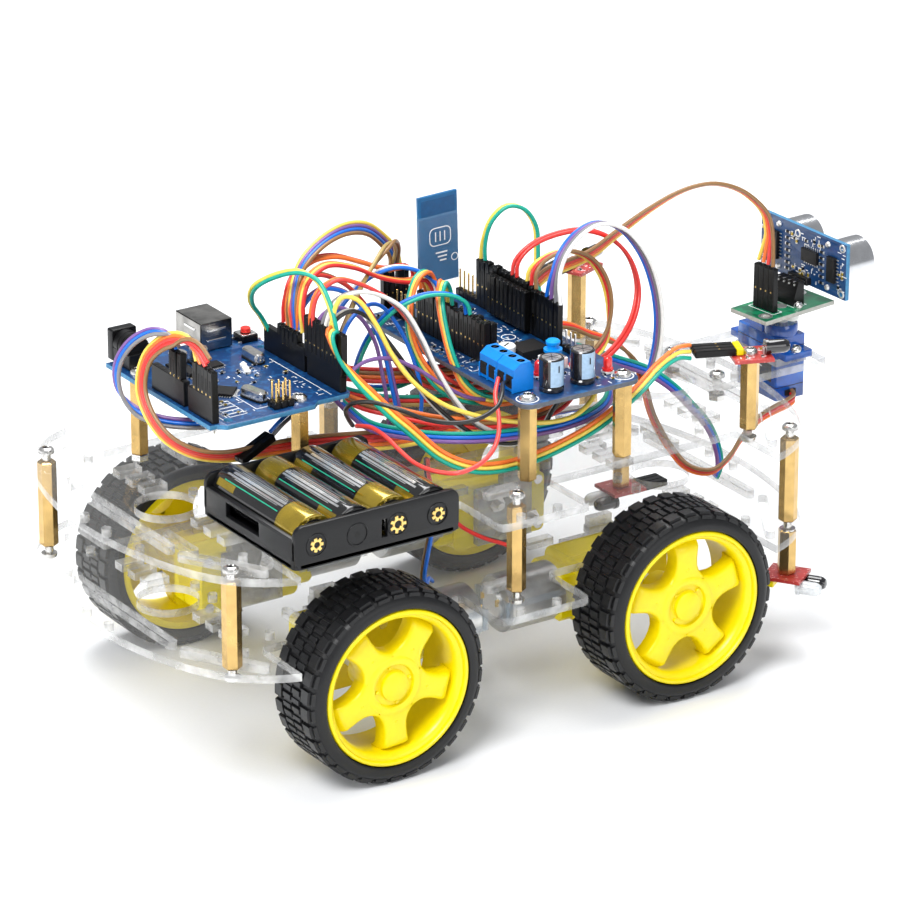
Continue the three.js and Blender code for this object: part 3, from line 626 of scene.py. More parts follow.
def jumper_wires():
    """The jumper wires between the boards, each small group along its own route."""
    wire("loop_blue_white", ["blue", "purple", "grey", "white"], [
        (45.3, -11, 122.5), (45.6, -11, 129), (49, -10, 137), (56, -9, 143), (64, -9, 145.4),
        (73, -10, 142), (80, -12, 133), (84.6, -13, 121), (86, -14, 108), (84.4, -14, 95),
        (80, -14, 86), (73, -13, 82.6), (62, -11, 82), (48, -10, 82.4), (34, -11, 82.6),
        (20, -13, 82.8)], start=(0, -1, 0), end=(0, -0.7, 0.7), fan=(2, 1))
    wire("loop_red", ["red", "pink"], [
        (45.3, 12, 123.5), (46, 12, 129), (51, 11, 134), (60, 9, 137), (70, 7, 137),
        (79, 5, 133), (85.6, 3, 125), (87, 0, 115), (82, -4, 106), (73, -7, 99), (62, -9, 95.4),
        (48, -9, 94.6), (36, -8, 95), (28, -8, 99), (25, -8, 105)], start=(0, 1, 0),
        end=(0, 0.5, 0.8), fan=(2, 1))
    wire("loop_brown", ["yellow", "red", "brown"], [
        (45.3, 2, 123.6), (46, 2, 129), (51, 1.4, 133), (59, 0, 134), (66.4, -2, 130),
        (70.8, -4, 122), (71.4, -6, 112), (68, -8, 103), (60, -9, 98), (50, -9, 98),
        (44, -9, 101), (42, -9, 105)],
        start=(0, -1, 0), end=(0, 0.5, 0.8), fan=(2, 1))
    wire("arch_teal_yellow", ["teal", "yellow"], [
        (45.3, 31, 123), (45.6, 31, 130), (48, 30, 138), (53, 28, 142.6), (58.4, 26, 141),
        (61.6, 24, 135), (61, 22, 127), (59, 19, 117), (59, 15, 108), (56, 12, 101.6),
        (51, 10, 101.6), (48, 9, 105)],
        start=(0, 1, 0), fan=(2, 1))
    wire("drop_teal_orange", ["teal", "yellow", "orange"], [
        (16.7, 9, 121.5), (16, 8.4, 127), (13, 6, 130.4), (9.6, 2.6, 127), (8, -2, 119),
        (7.6, -8, 109), (9.4, -13, 101), (14, -17, 96.6), (22, -19, 95.4), (33, -19, 96),
        (40, -19, 99.6), (43, -18, 105)],
        start=(0, 1, 0), end=(0, -0.6, -0.8), fan=(2, 1))
    wire("controller_loop", ["teal", "yellow"], [
        (-38.3, 31, 115), (-41, 32, 121), (-46, 30, 128), (-48, 25, 135), (-45, 17, 141),
        (-41, 8, 144.4), (-38.6, 1, 143), (-38, -5, 137), (-38.3, -9, 130), (-38.3, -9.6, 123.6)],
        start=(0, 1, 0), fan=(1, 2))
    wire("tuft_orange", ["orange", "orange", "red"], [
        (-38.3, 20, 122), (-38.6, 20, 129), (-36, 21, 136), (-29, 23, 140.4), (-18, 25, 140),
        (-6, 27, 135), (5, 28, 130), (12, 28, 129.4), (16.4, 28, 126.6), (16.7, 28, 121.5)],
        start=(0, 1, 0), fan=(2, 2))
    wire("tuft_red", ["red", "yellow", "orange"], [
        (-38.3, 11, 122), (-38.8, 11, 131), (-36, 12, 138.6), (-28, 14, 142), (-16, 16, 138.6),
        (-4, 18, 132), (7, 19, 128), (13.6, 19, 127.4), (16.6, 19, 121.5)],
        start=(0, 1, 0), fan=(2, 2))
    wire("tuft_pink", ["pink", "orange"], [
        (-38.3, 4, 122.6), (-39, 4, 130), (-37, 4, 137), (-30, 4, 140.6), (-20, 4, 137),
        (-10, 3, 130), (-3, 1, 121), (2, -1, 110), (8, -3, 101), (17, -4, 96), (29, -4, 95),
        (38, -4, 99), (41, -4, 105)],
        start=(0, 1, 0), fan=(2, 1))
    wire("pair_white", ["grey", "white"], [
        (-38.3, -2, 123), (-38.4, -3, 130), (-35, -4, 136.6), (-28, -4.6, 138.6),
        (-19, -5, 136), (-11, -7, 130), (-6, -10, 120), (-3, -14, 110), (2, -18, 99),
        (9, -20.6, 90), (18, -22, 85), (28, -22, 83.6), (40, -20, 83.4)],
        start=(0, -1, 0), end=(0, -0.7, 0.7), fan=(2, 1))
    wire("pair_black_white", ["white", "black"], [
        (-38.3, -4.6, 123), (-37, -5, 130), (-31, -6, 133.4), (-24, -6.4, 129.6), (-18, -8, 121),
        (-12, -11, 111), (-6, -15, 100), (2, -20, 91), (11, -25, 85), (20, -28, 83.6),
        (27.4, -29.4, 86.6), (32, -30, 93), (38, -29, 98.6), (43, -26, 105)],
        start=(0, -1, 0), end=(0, -0.7, 0.7))
    wire("module_wires", ["brown", "blue", "purple", "yellow"], [
        (-38.3, 15.6, 122), (-38.4, 16, 132), (-34, 19, 140.4), (-24, 24, 145), (-10, 30, 146),
        (2, 35, 142.4), (11, 38.4, 135), (15.4, 40, 129.6), (16.4, 40.4, 124)],
        start=(0, 1, 0), end=(0.9, 0.4, 0.3), fan=(1, 1.5))
    wire("drop_blue", ["blue"], [
        (-36, -6, 118), (-30, -3, 127), (-20, 2, 130), (-11, 6, 127), (-4.6, 5, 118),
        (-1, 2, 107), (0, -1, 95), (-3, -3, 83)])
    wire("drop_blue_second", ["blue", "purple"], [
        (-38.3, 13, 122.6), (-37, 13, 130), (-30, 13, 134.6), (-21, 12, 132), (-14.6, 9, 124),
        (-11, 5, 113), (-10, 1, 101), (-9, -1, 91), (-9, -1.6, 82.4)], start=(0, 1, 0),
        end=(1, 0, 0))
    wire("drop_purple", ["purple"], [
        (-38.3, 2.6, 122.6), (-36.6, 3, 129), (-30, 4, 131), (-22, 3, 127), (-17, 1, 118),
        (-14.6, 0, 106), (-12.6, 0, 94),
        (-12, 0, 82.6)])
    wire("long_yellow", ["yellow"], [
        (-38.3, -7, 123), (-38.4, -7.4, 132), (-35, -8, 139.4), (-30, -9.4, 138),
        (-25, -12, 130), (-20.6, -15.4, 119), (-15, -19.4, 109.6), (-7, -23.6, 102),
        (3, -27.4, 97), (15, -31.4, 93.4), (29, -35.4, 91.6), (38, -36, 92.6),
        (46, -34, 97), (49, -31, 105)], radius=0.8)
    wire("long_purple", ["purple"], [
        (-37, -13, 114), (-30, -12.6, 117.4), (-21, -12.6, 117), (-11, -14, 112), (-2, -16, 105),
        (7, -17, 99), (17, -17, 96), (29, -16, 96), (38, -15, 99), (41, -15, 105)])
    wire("power_loop", ["grey", "blue", "purple"], [
        (-86.6, 9, 127), (-87.6, 12, 131), (-91, 17, 131.4), (-96, 22, 127), (-99.4, 25, 119),
        (-99.6, 24, 111), (-96.6, 19, 105), (-91, 12, 102.4), (-83, 5, 102), (-74, 0, 102.6)],
        start=(0, 1, 0), end=(0, 0.6, 0.8), fan=(1.8, 1))
    wire("plug_pair", ["grey", "blue"], [
        (-61, -6.4, 97.6), (-57, -5.6, 100), (-51, -3, 101.4), (-43, 2, 102), (-36, 8, 102.6),
        (-34, 13, 105), (-38, 16, 107.2)], start=(0, 0.7, 0.7))
    wire("back_band", ["red", "orange", "brown", "red"], [
        (-33, 30, 107), (-25, 27, 102.6), (-13, 22, 98.6), (1, 17, 96.6), (15, 13, 96),
        (29, 9, 96), (42, 7, 97.4), (49, 6, 100), (50, 5, 105)], start=(0, 0.6, 0.8))
    wire("back_band_low", ["khaki", "red", "teal"], [
        (-37, 19, 107), (-31, 18, 103), (-22, 16, 97), (-9, 12, 92), (5, 7, 90), (19, 3, 89.4),
        (33, 0, 89.4), (48, -2, 90), (57, -1, 93), (60, 3, 99), (55, 7, 103), (48, 8, 105)],
        start=(0, 0.6, 0.8))
    wire("left_sensor_wires", ["brown", "red", "yellow"], [
        (79.4, 43, 107.4), (74, 41.4, 108.6), (67, 39, 108), (61, 36, 104), (57, 32, 99),
        (52, 27, 96.4), (47, 22, 97), (45, 18, 105)], start=(0.3, -0.6, 0.7), fan=(1.6, 1))
    wire("arc_khaki", ["khaki", "brown"], [
        (-35.4, 7, 108.6), (-30, 8, 111), (-24, 10, 119), (-14, 15, 130), (-2, 22, 137),
        (9, 30, 138),
        (14.4, 36, 132), (16, 41, 124)], start=(0, 1, 0), end=(1, 0, 0), fan=(1, 1.6))
    wire("arc_blue", ["blue", "white"], [
        (-35.4, 22, 108.6), (-28, 22, 111), (-19, 22, 121), (-8, 22, 130), (3, 21, 133),
        (11, 19, 131),
        (15.4, 15, 127), (16.7, 13.4, 121.5)], start=(0, 1, 0), fan=(1, 2))
    wire("arch_orange_teal", ["orange", "yellow", "teal"], [
        (16.7, 16.6, 121), (15.8, 16.6, 127), (12.6, 15, 131.4), (7, 12.4, 131), (2, 9, 125.4),
        (-0.6, 5, 116), (1, 0, 106), (6, -6, 98), (14, -10.4, 94.6), (25, -13, 94), (34, -13, 98),
        (37, -12, 105)],
        start=(0, 1, 0), end=(0, -0.6, -0.8), fan=(2, 1))
    wire("arch_teal_blue", ["teal", "blue"], [
        (16.7, -3.6, 120.5), (15.6, -3.2, 125.6), (10.6, -2, 129), (2.6, 1, 129.6),
        (-6, 5, 125.6), (-12, 9, 118), (-15, 13, 108), (-14, 17, 99), (-7, 20, 93),
        (4, 21, 91), (14, 20, 94), (18, 19, 99), (19, 18, 105)], start=(0, 1, 0),
        end=(0, 0.7, 0.7), fan=(2, 1))
    wire("arch_pink", ["pink", "brown"], [
        (-38.3, 17.8, 122), (-38.8, 18, 129), (-35.4, 19, 135.6), (-27, 20, 137), (-17, 20, 132),
        (-9, 19, 123), (-4, 17, 112), (0, 14, 102), (7, 10, 95), (18, 7, 92), (28, 6, 96),
        (31, 6, 105)],
        start=(0, 1, 0), end=(0, 0.6, 0.8), fan=(2, 1))
    wire("low_purple_blue", ["purple", "blue", "teal"], [
        (-37.4, -3, 107), (-32, -5, 100), (-25, -8, 93), (-16, -13, 90), (-5, -20, 88.4),
        (8, -27, 88), (21, -32, 88.6), (34, -35, 89.6), (47, -34, 91), (57, -27, 92.6),
        (60, -20, 97), (56, -14, 103), (49, -12, 105)], start=(0, 0.6, 0.8))
    wire("low_red_brown", ["red", "brown", "orange"], [
        (-37, 4, 107), (-31, 4, 102), (-21, 2, 96), (-12, -5, 93.6), (-2, -12, 91),
        (10, -19, 89.6),
        (23, -24, 89.6), (36, -25, 91), (46, -21, 94), (50, -17, 99), (48, -15, 105)],
        start=(0, 0.6, 0.8))
    wire("infrared_wires_up", ["teal", "yellow", "orange"], [
        (-23.3, -30, 98.6), (-27.4, -27, 103), (-32, -22.6, 109), (-36.6, -17.4, 115.6),
        (-40.4, -13, 123), (-41, -10.6, 129), (-39, -9.6, 129.6), (-38.3, -9.6, 123)],
        start=(0.3, 0.3, 1), end=(0, 1, 0), fan=(1, 1.8))
    wire("servo_wires_up", ["brown", "red", "orange"], [
        (76, 13, 97), (70, 14, 100.4), (63, 14, 102.4), (56, 13, 102.6), (50, 12, 103.2),
        (46, 11, 105)], start=(0, 1, 0.4))
    wire("motor_wires_front", ["red", "black"], [
        (18, -34, 46), (14, -30, 49.6), (8, -26, 52), (2, -20, 56), (-1, -14, 62), (-2, -8, 69),
        (-2, -7, 76)],
        start=(0, 1, 0))
    wire("motor_wires_rear", ["blue", "brown"], [
        (-18, -34, 46), (-22, -38, 49.4), (-27, -44, 50.6), (-30, -48, 56), (-30, -50, 64),
        (-28, -49, 70), (-28, -48, 76)], start=(0, 1, 0))


# ---- small fittings ----


def screw(piece, x, y, z, up=1, r=2.7, here=None):
    """A pan-head screw's head, with a cross recess, standing on z."""
    spot = (here or Matrix()) @ Matrix.Translation((x, y, z))
    if up < 0:
        spot = spot @ Matrix.Rotation(math.pi, 4, "X")
    profile = [(0, 0), (r, 0), (r, 0.5), (r * 0.93, 1.2), (r * 0.7, 1.75), (r * 0.5, 1.9),
               (r * 0.42, 1.45), (0, 1.35)]
    piece.lathe(profile, STEEL, spot, 20)
    # The cross recess is painted shade: dark bars in the head's dish.
    for turn in (35, 125):
        piece.box(0, 0, 1.62, r * 1.15, 0.5, 0.35, PAINTED_SHADE_AND_MARKS, 0.02, turn, spot)


def nut(piece, x, y, z, here=None, height=2.1, flats=5.4):
    r = flats / math.sqrt(3)
    profile = [(1.5, 0), (r * 0.94, 0), (r, 0.25), (r, height - 0.25), (r * 0.94, height),
               (1.5, height), (1.5, 0)]
    piece.lathe(profile, STEEL, (here or Matrix()) @ Matrix.Translation((x, y, z)), 6)


def standoff(name, x, y, low, high, node, top_screw=None, bottom_screw=None, turn=0.0):
    """A hexagonal brass bar with chamfered ends and the screws at its ends."""
    r = STANDOFF_R
    piece = Piece(name)
    spot = at(x, y, 0, turn)
    profile = [(0, low), (r * 0.86, low), (r, low + 0.5), (r, high - 0.5), (r * 0.86, high),
               (0, high)]
    piece.lathe(profile, BRASS, spot, 6)
    if top_screw:
        screw(piece, 0, 0, top_screw, here=spot)
        piece.rod(0, 0, high, 1.45, top_screw - high, STEEL, here=spot, sides=12)
    if bottom_screw:
        screw(piece, 0, 0, bottom_screw, up=-1, here=spot)
        piece.rod(0, 0, bottom_screw, 1.45, low - bottom_screw, STEEL, here=spot, sides=12)
    return piece.done("chassis", [node])


def header(piece, x, y, z, count, along=(0, 1), height=8.5, here=None):
    """A female pin header: a black strip with a square socket over each pin."""
    length = count * GRID
    ax, ay = along
    sx, sy = (length, 2.5) if ax else (2.5, length)
    spot = (here or Matrix())
    piece.box(x, y, z + height / 2, sx, sy, height, HEADER, 0.15, 0, spot)
    for i in range(count):
        off = (i - (count - 1) / 2) * GRID
        px, py = x + ax * off, y + ay * off
        # Each socket mouth is painted shade: a dark square on the strip's top.
        piece.box(px, py, z + height, 1.3, 1.3, 0.12, PAINTED_SHADE_AND_MARKS, 0.03, 0, spot)
        piece.box(px, py, z - 2.6, 0.64, 0.64, 2, SOLDER, 0.05, 0, spot)


def plug(piece, x, y, z, height=14.2, here=None, faces=(-1, 0), lean=1.2):
    """A one-pin jumper housing with its latch window, standing on z."""
    tilt = Matrix.Rotation(math.radians(luck.uniform(-lean, lean)), 4, "X")
    tilt = tilt @ Matrix.Rotation(math.radians(luck.uniform(-lean, lean)), 4, "Y")
    spot = (here or Matrix()) @ Matrix.Translation((x, y, z)) @ tilt
    piece.box(0, 0, height / 2, 2.42, 2.42, height, PLUG, 0.22, 0, spot)
    piece.box(0, 0, height, 1.5, 1.5, 0.5, PLUG, 0.15, 0, spot)
    fx, fy = faces
    wide = (0.1, 1.0) if fx else (1.0, 0.1)
    # The latch window is painted shade: a dark slot on one face.
    piece.box(fx * 1.2, fy * 1.2, height * 0.62, *wide, 4.6, PAINTED_SHADE_AND_MARKS, 0.02, 0, spot)
    piece.box(fx * 1.22, fy * 1.22, height * 0.4, wide[0] * 0.5, wide[1] * 0.5, 0.6,
              BRIGHT_BRASS, 0.02, 0, spot)


def pins(piece, x, y, z, count, along=(0, 1), height=6, here=None, metal=None):
    """A male pin header: a block round the foot of each pin."""
    for i in range(count):
        off = (i - (count - 1) / 2) * GRID
        px, py = x + along[0] * off, y + along[1] * off
        piece.box(px, py, z + 1.2, 2.4, 2.4, 2.4, HEADER, 0.35, 0, here)
        piece.box(px, py, z + 1.2 + height / 2, 0.64, 0.64, height + 2.4, metal or GOLD, 0.15, 0,
                  here)


def chip(piece, x, y, z, width, depth, height, legs, turn=0, here=None, all_sides=False):
    """A chip body with its gull legs on two or four sides."""
    spot = (here or Matrix()) @ at(x, y, z, turn)
    piece.box(0, 0, height / 2 + 0.15, width, depth, height, EPOXY, 0.12, 0, spot)
    # The pin-one dimple is painted shade: a dark dot.
    piece.rod(-width / 2 + 0.9, -depth / 2 + 0.9, height + 0.12, 0.35, 0.06, PAINTED_SHADE_AND_MARKS, 0.01, 10,
              spot)
    for side in (-1, 1):
        for i in range(legs):
            u = (i - (legs - 1) / 2) * (width - 0.8) / max(1, legs - 1) * 0.94
            piece.box(u, side * (depth / 2 + 0.5), 0.25, 0.34, 1.1, 0.3, SOLDER, 0.05, 0, spot)
            if all_sides:
                v = (i - (legs - 1) / 2) * (depth - 0.8) / max(1, legs - 1) * 0.94
                piece.box(side * (width / 2 + 0.5), v, 0.25, 1.1, 0.34, 0.3, SOLDER, 0.05, 0,
                          spot)


def capacitor(piece, x, y, z, r, height, turn=0, here=None):
    """A radial electrolytic capacitor: sleeve, pale stripe, groove and vented top."""
    spot = (here or Matrix()) @ at(x, y, z, turn)
    profile = [(0, 0), (r - 0.3, 0), (r, 0.4), (r, 1.2), (r - 0.35, 1.7), (r, 2.2),
               (r, height - 0.5), (r - 0.3, height - 0.1), (r - 0.7, height)]
    piece.lathe([*profile, (r - 0.75, height - 0.25), (0, height - 0.25)], SLEEVE_BLACK, spot, 32)
    piece.lathe([(0, height - 0.3), (r - 0.85, height - 0.3), (r - 0.9, height - 0.08),
                 (0, height - 0.08)], STEEL, spot, 24)
    # The vent grooves on the top are painted shade: dark lines.
    for turned in (0, 60, 120):
        piece.box(0, 0, height - 0.06, (r - 1.2) * 2, 0.22, 0.05, PAINTED_SHADE_AND_MARKS, 0.01, turned, spot)
    steps = 10
    verts, faces = [], []
    for i in range(steps + 1):
        a = math.radians(-128 + 76 * i / steps)
        for rr, zz in ((r + 0.05, 2.3), (r + 0.05, height - 0.55)):
            verts.append((rr * math.cos(a), rr * math.sin(a), zz))
            verts.append(((rr - 0.2) * math.cos(a), (rr - 0.2) * math.sin(a), zz))
    for i in range(steps):
        k = 4 * i
        faces += [[k, k + 4, k + 6, k + 2], [k + 1, k + 3, k + 7, k + 5],
                  [k, k + 1, k + 5, k + 4], [k + 2, k + 6, k + 7, k + 3]]
    faces += [[0, 2, 3, 1], [4 * steps, 4 * steps + 1, 4 * steps + 3, 4 * steps + 2]]
    piece.add(verts, faces, SLEEVE_STRIPE, spot)
    piece.box(0.1, -r - 0.06, height * 0.72, 0.45, 0.1, 2.2, PAINTED_SHADE_AND_MARKS, 0.02, 0, spot)


def lamp(piece, x, y, z, r=1.5, height=4.6, material=None, here=None):
    profile = [(0, 0), (r + 0.35, 0), (r + 0.35, 0.8), (r, 0.85), (r, height - r * 0.9),
               (r * 0.85, height - r * 0.4), (r * 0.5, height - 0.12), (0, height)]
    piece.lathe(profile, material or LAMP, (here or Matrix()) @ Matrix.Translation((x, y, z)), 16)


def scatter(piece, areas, z, here=None, density=0.05, marks=0.06):
    """Small chip resistors, capacitors and printed dashes over the free areas of a board."""
    for x0, y0, x1, y1 in areas:
        size = abs((x1 - x0) * (y1 - y0))
        for _ in range(int(size * density)):
            x, y = luck.uniform(x0, x1), luck.uniform(y0, y1)
            turn = luck.choice((0, 90))
            body = luck.choice((EPOXY, CELL_GOLD, EPOXY))
            piece.box(x, y, z + 0.3, 1.1, 0.85, 0.55, body, 0.08, turn, here)
            for side in (-0.72, 0.72):
                dx, dy = (side, 0) if turn == 0 else (0, side)
                sx, sy = (0.4, 0.9) if turn == 0 else (0.9, 0.4)
                piece.box(x + dx, y + dy, z + 0.28, sx, sy, 0.5, SOLDER, 0.06, 0, here)
        for _ in range(int(size * marks)):
            x, y = luck.uniform(x0, x1), luck.uniform(y0, y1)
            turn = luck.choice((0, 90))
            piece.box(x, y, z + 0.02, luck.uniform(0.7, 2.2), 0.3, 0.05, PRINT, 0.01, turn, here)


def pads(piece, x, y, z, count, along, here=None, r=0.85, pitch=GRID):
    """A row of plated holes."""
    for i in range(count):
        off = (i - (count - 1) / 2) * pitch
        spot = (here or Matrix()) @ Matrix.Translation((x + along[0] * off, y + along[1] * off, z))
        piece.lathe([(0.4, 0), (r, 0), (r, 0.06), (0.4, 0.06), (0.4, 0)], SOLDER, spot, 12)
        # Each hole is painted shade: a dark disc inside the ring.
        piece.lathe([(0, 0.01), (0.4, 0.01), (0.4, 0.03), (0, 0.03)], PAINTED_SHADE_AND_MARKS, spot, 8)


def frame_line(piece, x, y, z, width, depth, line=0.25, here=None):
    """A printed rectangle."""
    for sx, sy, w, d in ((0, -1, width, line), (0, 1, width, line), (-1, 0, line, depth),
                         (1, 0, line, depth)):
        piece.box(x + sx * width / 2, y + sy * depth / 2, z + 0.02, w, d, 0.05, PRINT, 0.01, 0,
                  here)


# ---- decks ----


def deck_outline():
    """Both ends alike: a bowed nose, swept corners, and a bay for each wheel."""
    nose, arc = 127.3, 140
    sweep = math.asin(46 / arc)
    centre = nose - arc
    corner_x = centre + arc * math.cos(sweep)
    lean_x, lean_y = corner_x - math.sin(sweep) * 18, 46 + math.cos(sweep) * 18
    half = bezier((92, -74), (103, -70.5), (lean_x, -lean_y), (corner_x, -46), 14)
    for i in range(30):
        a = -sweep + 2 * sweep * i / 30
        half.append((centre + arc * math.cos(a), arc * math.sin(a)))
    half += bezier((corner_x, 46), (lean_x, lean_y), (103, 70.5), (92, 74), 14)
    half += [(92, 74), (92, 50.6), (91.4, 50), (17.9, 50), (17.3, 50.6), (17.3, 72.6),
             (16.6, 73.8), (14.3, 74.6), (-14.3, 74.6), (-16.6, 73.8), (-17.3, 72.6),
             (-17.3, 50.6), (-17.9, 50), (-91.4, 50), (-92, 50.6)]
    return half + [(-x, -y) for x, y in half]


def deck_holes():
    holes = []
    for end in (-1, 1):
        holes.append(circle(end * 97, 0, 10.2, 48))
        holes.append(slot_loop(end * 113.2, -30, end * 113.2, 30, 3.2))
        for side in (-1, 1):
            holes.append(slot_loop(end * 113, side * 37.5, end * 98.2, side * 62, 3.2))
            for y in (16.7, 24.7, 32.9):
                holes.append(rectangle(end * 92.2, side * y, 8.4, 4.7))
            for x, y in ((123, 7), (83.6, 5.5), (83.6, 41), (97.8, 48.8)):
                holes.append(circle(end * x, side * y, 1.6, 16))
            for x in (54, 30):
                holes.append(rectangle(end * x, side * 25.6, 9.6, 3.4))
            holes.append(slot_loop(end * 70, side * 29, end * 70, side * 46, 3.2))
    for side in (-1, 1):
        holes.append(slot_loop(-5, side * 48, 5, side * 48, 4))
        for x in (-7, 7):
            holes.append(circle(x, side * 70, 1.6, 16))
    return holes


def decks():
    outline, holes = deck_outline(), deck_holes()
    for name, top in (("lower_deck", LOWER_TOP), ("upper_deck", UPPER_TOP)):
        piece = Piece(name + "_sheet")
        piece.plate(outline, holes, top - DECK_T, DECK_T, ACRYLIC, ACRYLIC_EDGE, 0.12)
        piece.done("chassis", [name])
    for place, (x, y) in STANDOFFS.items():
        for side, sign in (("left", 1), ("right", -1)):
            standoff(f"brass_standoff_{place}_{side}", x, sign * y, LOWER_TOP + 0.05,
                     UPPER_TOP - DECK_T - 0.05, f"deck_standoff_{place}_{side}",
                     UPPER_TOP, LOWER_TOP - DECK_T, turn=30)


# ---- wheels and motors ----


def ring_block(piece, a0, a1, y0, y1, r_low, r_high, material, taper=0.25, here=None):
    """A tread block between two angles on a cylinder about local Y."""
    verts, faces, steps = [], [], 3
    for i in range(steps + 1):
        t = i / steps
        for low in (True, False):
            r = r_low if low else r_high
            g = 0 if low else taper
            a = a0 + (a1 - a0) * t
            a += (g / r) * (1 - 2 * t)
            for y in (y0 + g, y1 - g):
                verts.append((r * math.cos(a), y, r * math.sin(a)))
    for i in range(steps):
        k = 4 * i
        faces += [[k + 2, k + 3, k + 7, k + 6], [k, k + 2, k + 6, k + 4],
                  [k + 1, k + 5, k + 7, k + 3],
                  [k, k + 4, k + 5, k + 1]]
    k = 4 * steps
    faces += [[0, 1, 3, 2], [k, k + 2, k + 3, k + 1]]
    piece.add(verts, faces, material, here)


def tyre(name, body, base, node):
    piece = Piece(name, base)
    turn = Z_TO_Y  # local Z of the lathe to local Y
    profile = [
        (26.9, 0.5), (27.4, 0.15), (28.6, 0.05), (29.8, 0.35), (30.8, 1.0), (31.6, 2.0),
        (32.0, 3.2), (32.1, 21.4), (31.6, 22.6), (30.8, 23.6), (29.4, 24.3), (26.9, 24.2),
        (26.9, 21.1), (25.6, 20.1), (25.6, 3.9), (26.9, 2.9), (26.9, 0.5),
    ]
    piece.lathe(profile, SIDEWALL, turn, 96)
    count = 34
    step = 2 * math.pi / count
    for i in range(count):
        a = i * step
        for y0, y1, lag in ((2.3, 6.9, 0.0), (17.7, 22.3, 0.5)):
            s = a + lag * step
            ring_block(piece, s + 0.09 * step, s + 0.91 * step, y0, y1, 31.4, 33, RUBBER, 0.35)
        for y0, y1, lag in ((7.5, 12.0, 0.3), (12.6, 17.1, 0.8)):
            s = a + lag * step
            ring_block(piece, s + 0.08 * step, s + 0.92 * step, y0, y1, 31.9, 32.5, RUBBER, 0.1)
            for u, v in ((0.08, 0.4), (0.6, 0.92)):
                ring_block(piece, s + u * step, s + v * step, y0, y1, 32.3, 33, RUBBER, 0.2)
        ring_block(piece, a + 0.12 * step, a + 0.88 * step, 0.95, 2.5, 30.9, 32.1, RUBBER, 0.25)
    return piece.done(body, [node], smooth=28)


def rim(name, body, base, node):
    """Five flared spokes between a hub with a cap and a deep barrel; y is 0 at the outer face."""
    piece = Piece(name, base)
    turn = Z_TO_Y
    barrel = [
        (24.9, 1.7), (24.95, 0.7), (25.3, 0.3), (25.9, 0.25), (26.4, 0.6), (26.6, 1.2),
        (26.6, 2.7),
        (25.3, 3.6), (25.3, 20.4), (26.5, 21.3), (26.5, 23.4), (24.2, 23.4), (22.9, 9),
        (22.8, 4.6),
        (23.3, 2.6), (24.2, 1.9), (24.9, 1.7),
    ]
    piece.lathe(barrel, YELLOW, turn, 96)
    hub = [
        (0, 2.1), (4.3, 2.1), (4.9, 2.5), (5.0, 3.9), (5.2, 4.1), (6.9, 4.1), (7.1, 3.9),
        (7.3, 3.1), (7.8, 2.8), (9.4, 2.85), (10.2, 3.3), (10.4, 8), (6.6, 9.6), (6, 21.4),
        (3.1, 21.4), (3.1, 7.2), (0, 7.2),
    ]
    piece.lathe(hub, YELLOW, turn, 64)
    for k in range(4):
        a = math.radians(45 + 90 * k)
        piece.lathe([(0, -0.5), (0.55, -0.4), (0.7, 0), (0.7, 0.6), (0, 0.6)], YELLOW,
                    Matrix.Translation((6.2 * math.cos(a), 3.9, 6.2 * math.sin(a))) @ turn, 10)
    for k in range(5):
        a = math.pi / 2 + 2 * math.pi * k / 5
        spin = Matrix.Rotation(-a, 4, "Y")
        spoke(piece, spin)
        piece.lathe([(0, -0.35), (0.45, -0.25), (0.6, 0), (0.6, 0.6), (0, 0.6)], YELLOW,
                    spin @ Matrix.Translation((12.8, 3.2, 0)) @ turn, 10)
    return piece.done(body, [node], smooth=40)


def spoke(piece, spin):
    """One spoke along local +X: wide and filleted at the hub and slightly dished."""
    stations = [(8.5, 7.6, 3.2), (9.8, 6.2, 3.2), (11.4, 5.0, 3.15), (13.6, 4.3, 3.1),
                (16, 4.15, 3.0), (18.6, 4.4, 3.0), (20.4, 4.7, 3.2), (21.3, 4.8, 3.9),
                (22.1, 4.85, 5.2), (24.3, 4.9, 7.0)]
    depth = 6.2
    verts, faces = [], []
    for x, half, top in stations:
        section = [(-half, top + depth), (-half, top + 1.2), (-half + 0.4, top + 0.45),
                   (-half + 1.3, top), (half - 1.3, top), (half - 0.4, top + 0.45),
                   (half, top + 1.2), (half, top + depth)]
        verts += [(x, y, z) for z, y in section]
    n = 8
    for i in range(len(stations) - 1):
        for k in range(n):
            j = (k + 1) % n
            faces.append([i * n + k, i * n + j, (i + 1) * n + j, (i + 1) * n + k])
    faces += [list(range(n)), list(range((len(stations) - 1) * n, len(stations) * n))]
    piece.add(verts, faces, YELLOW, spin)


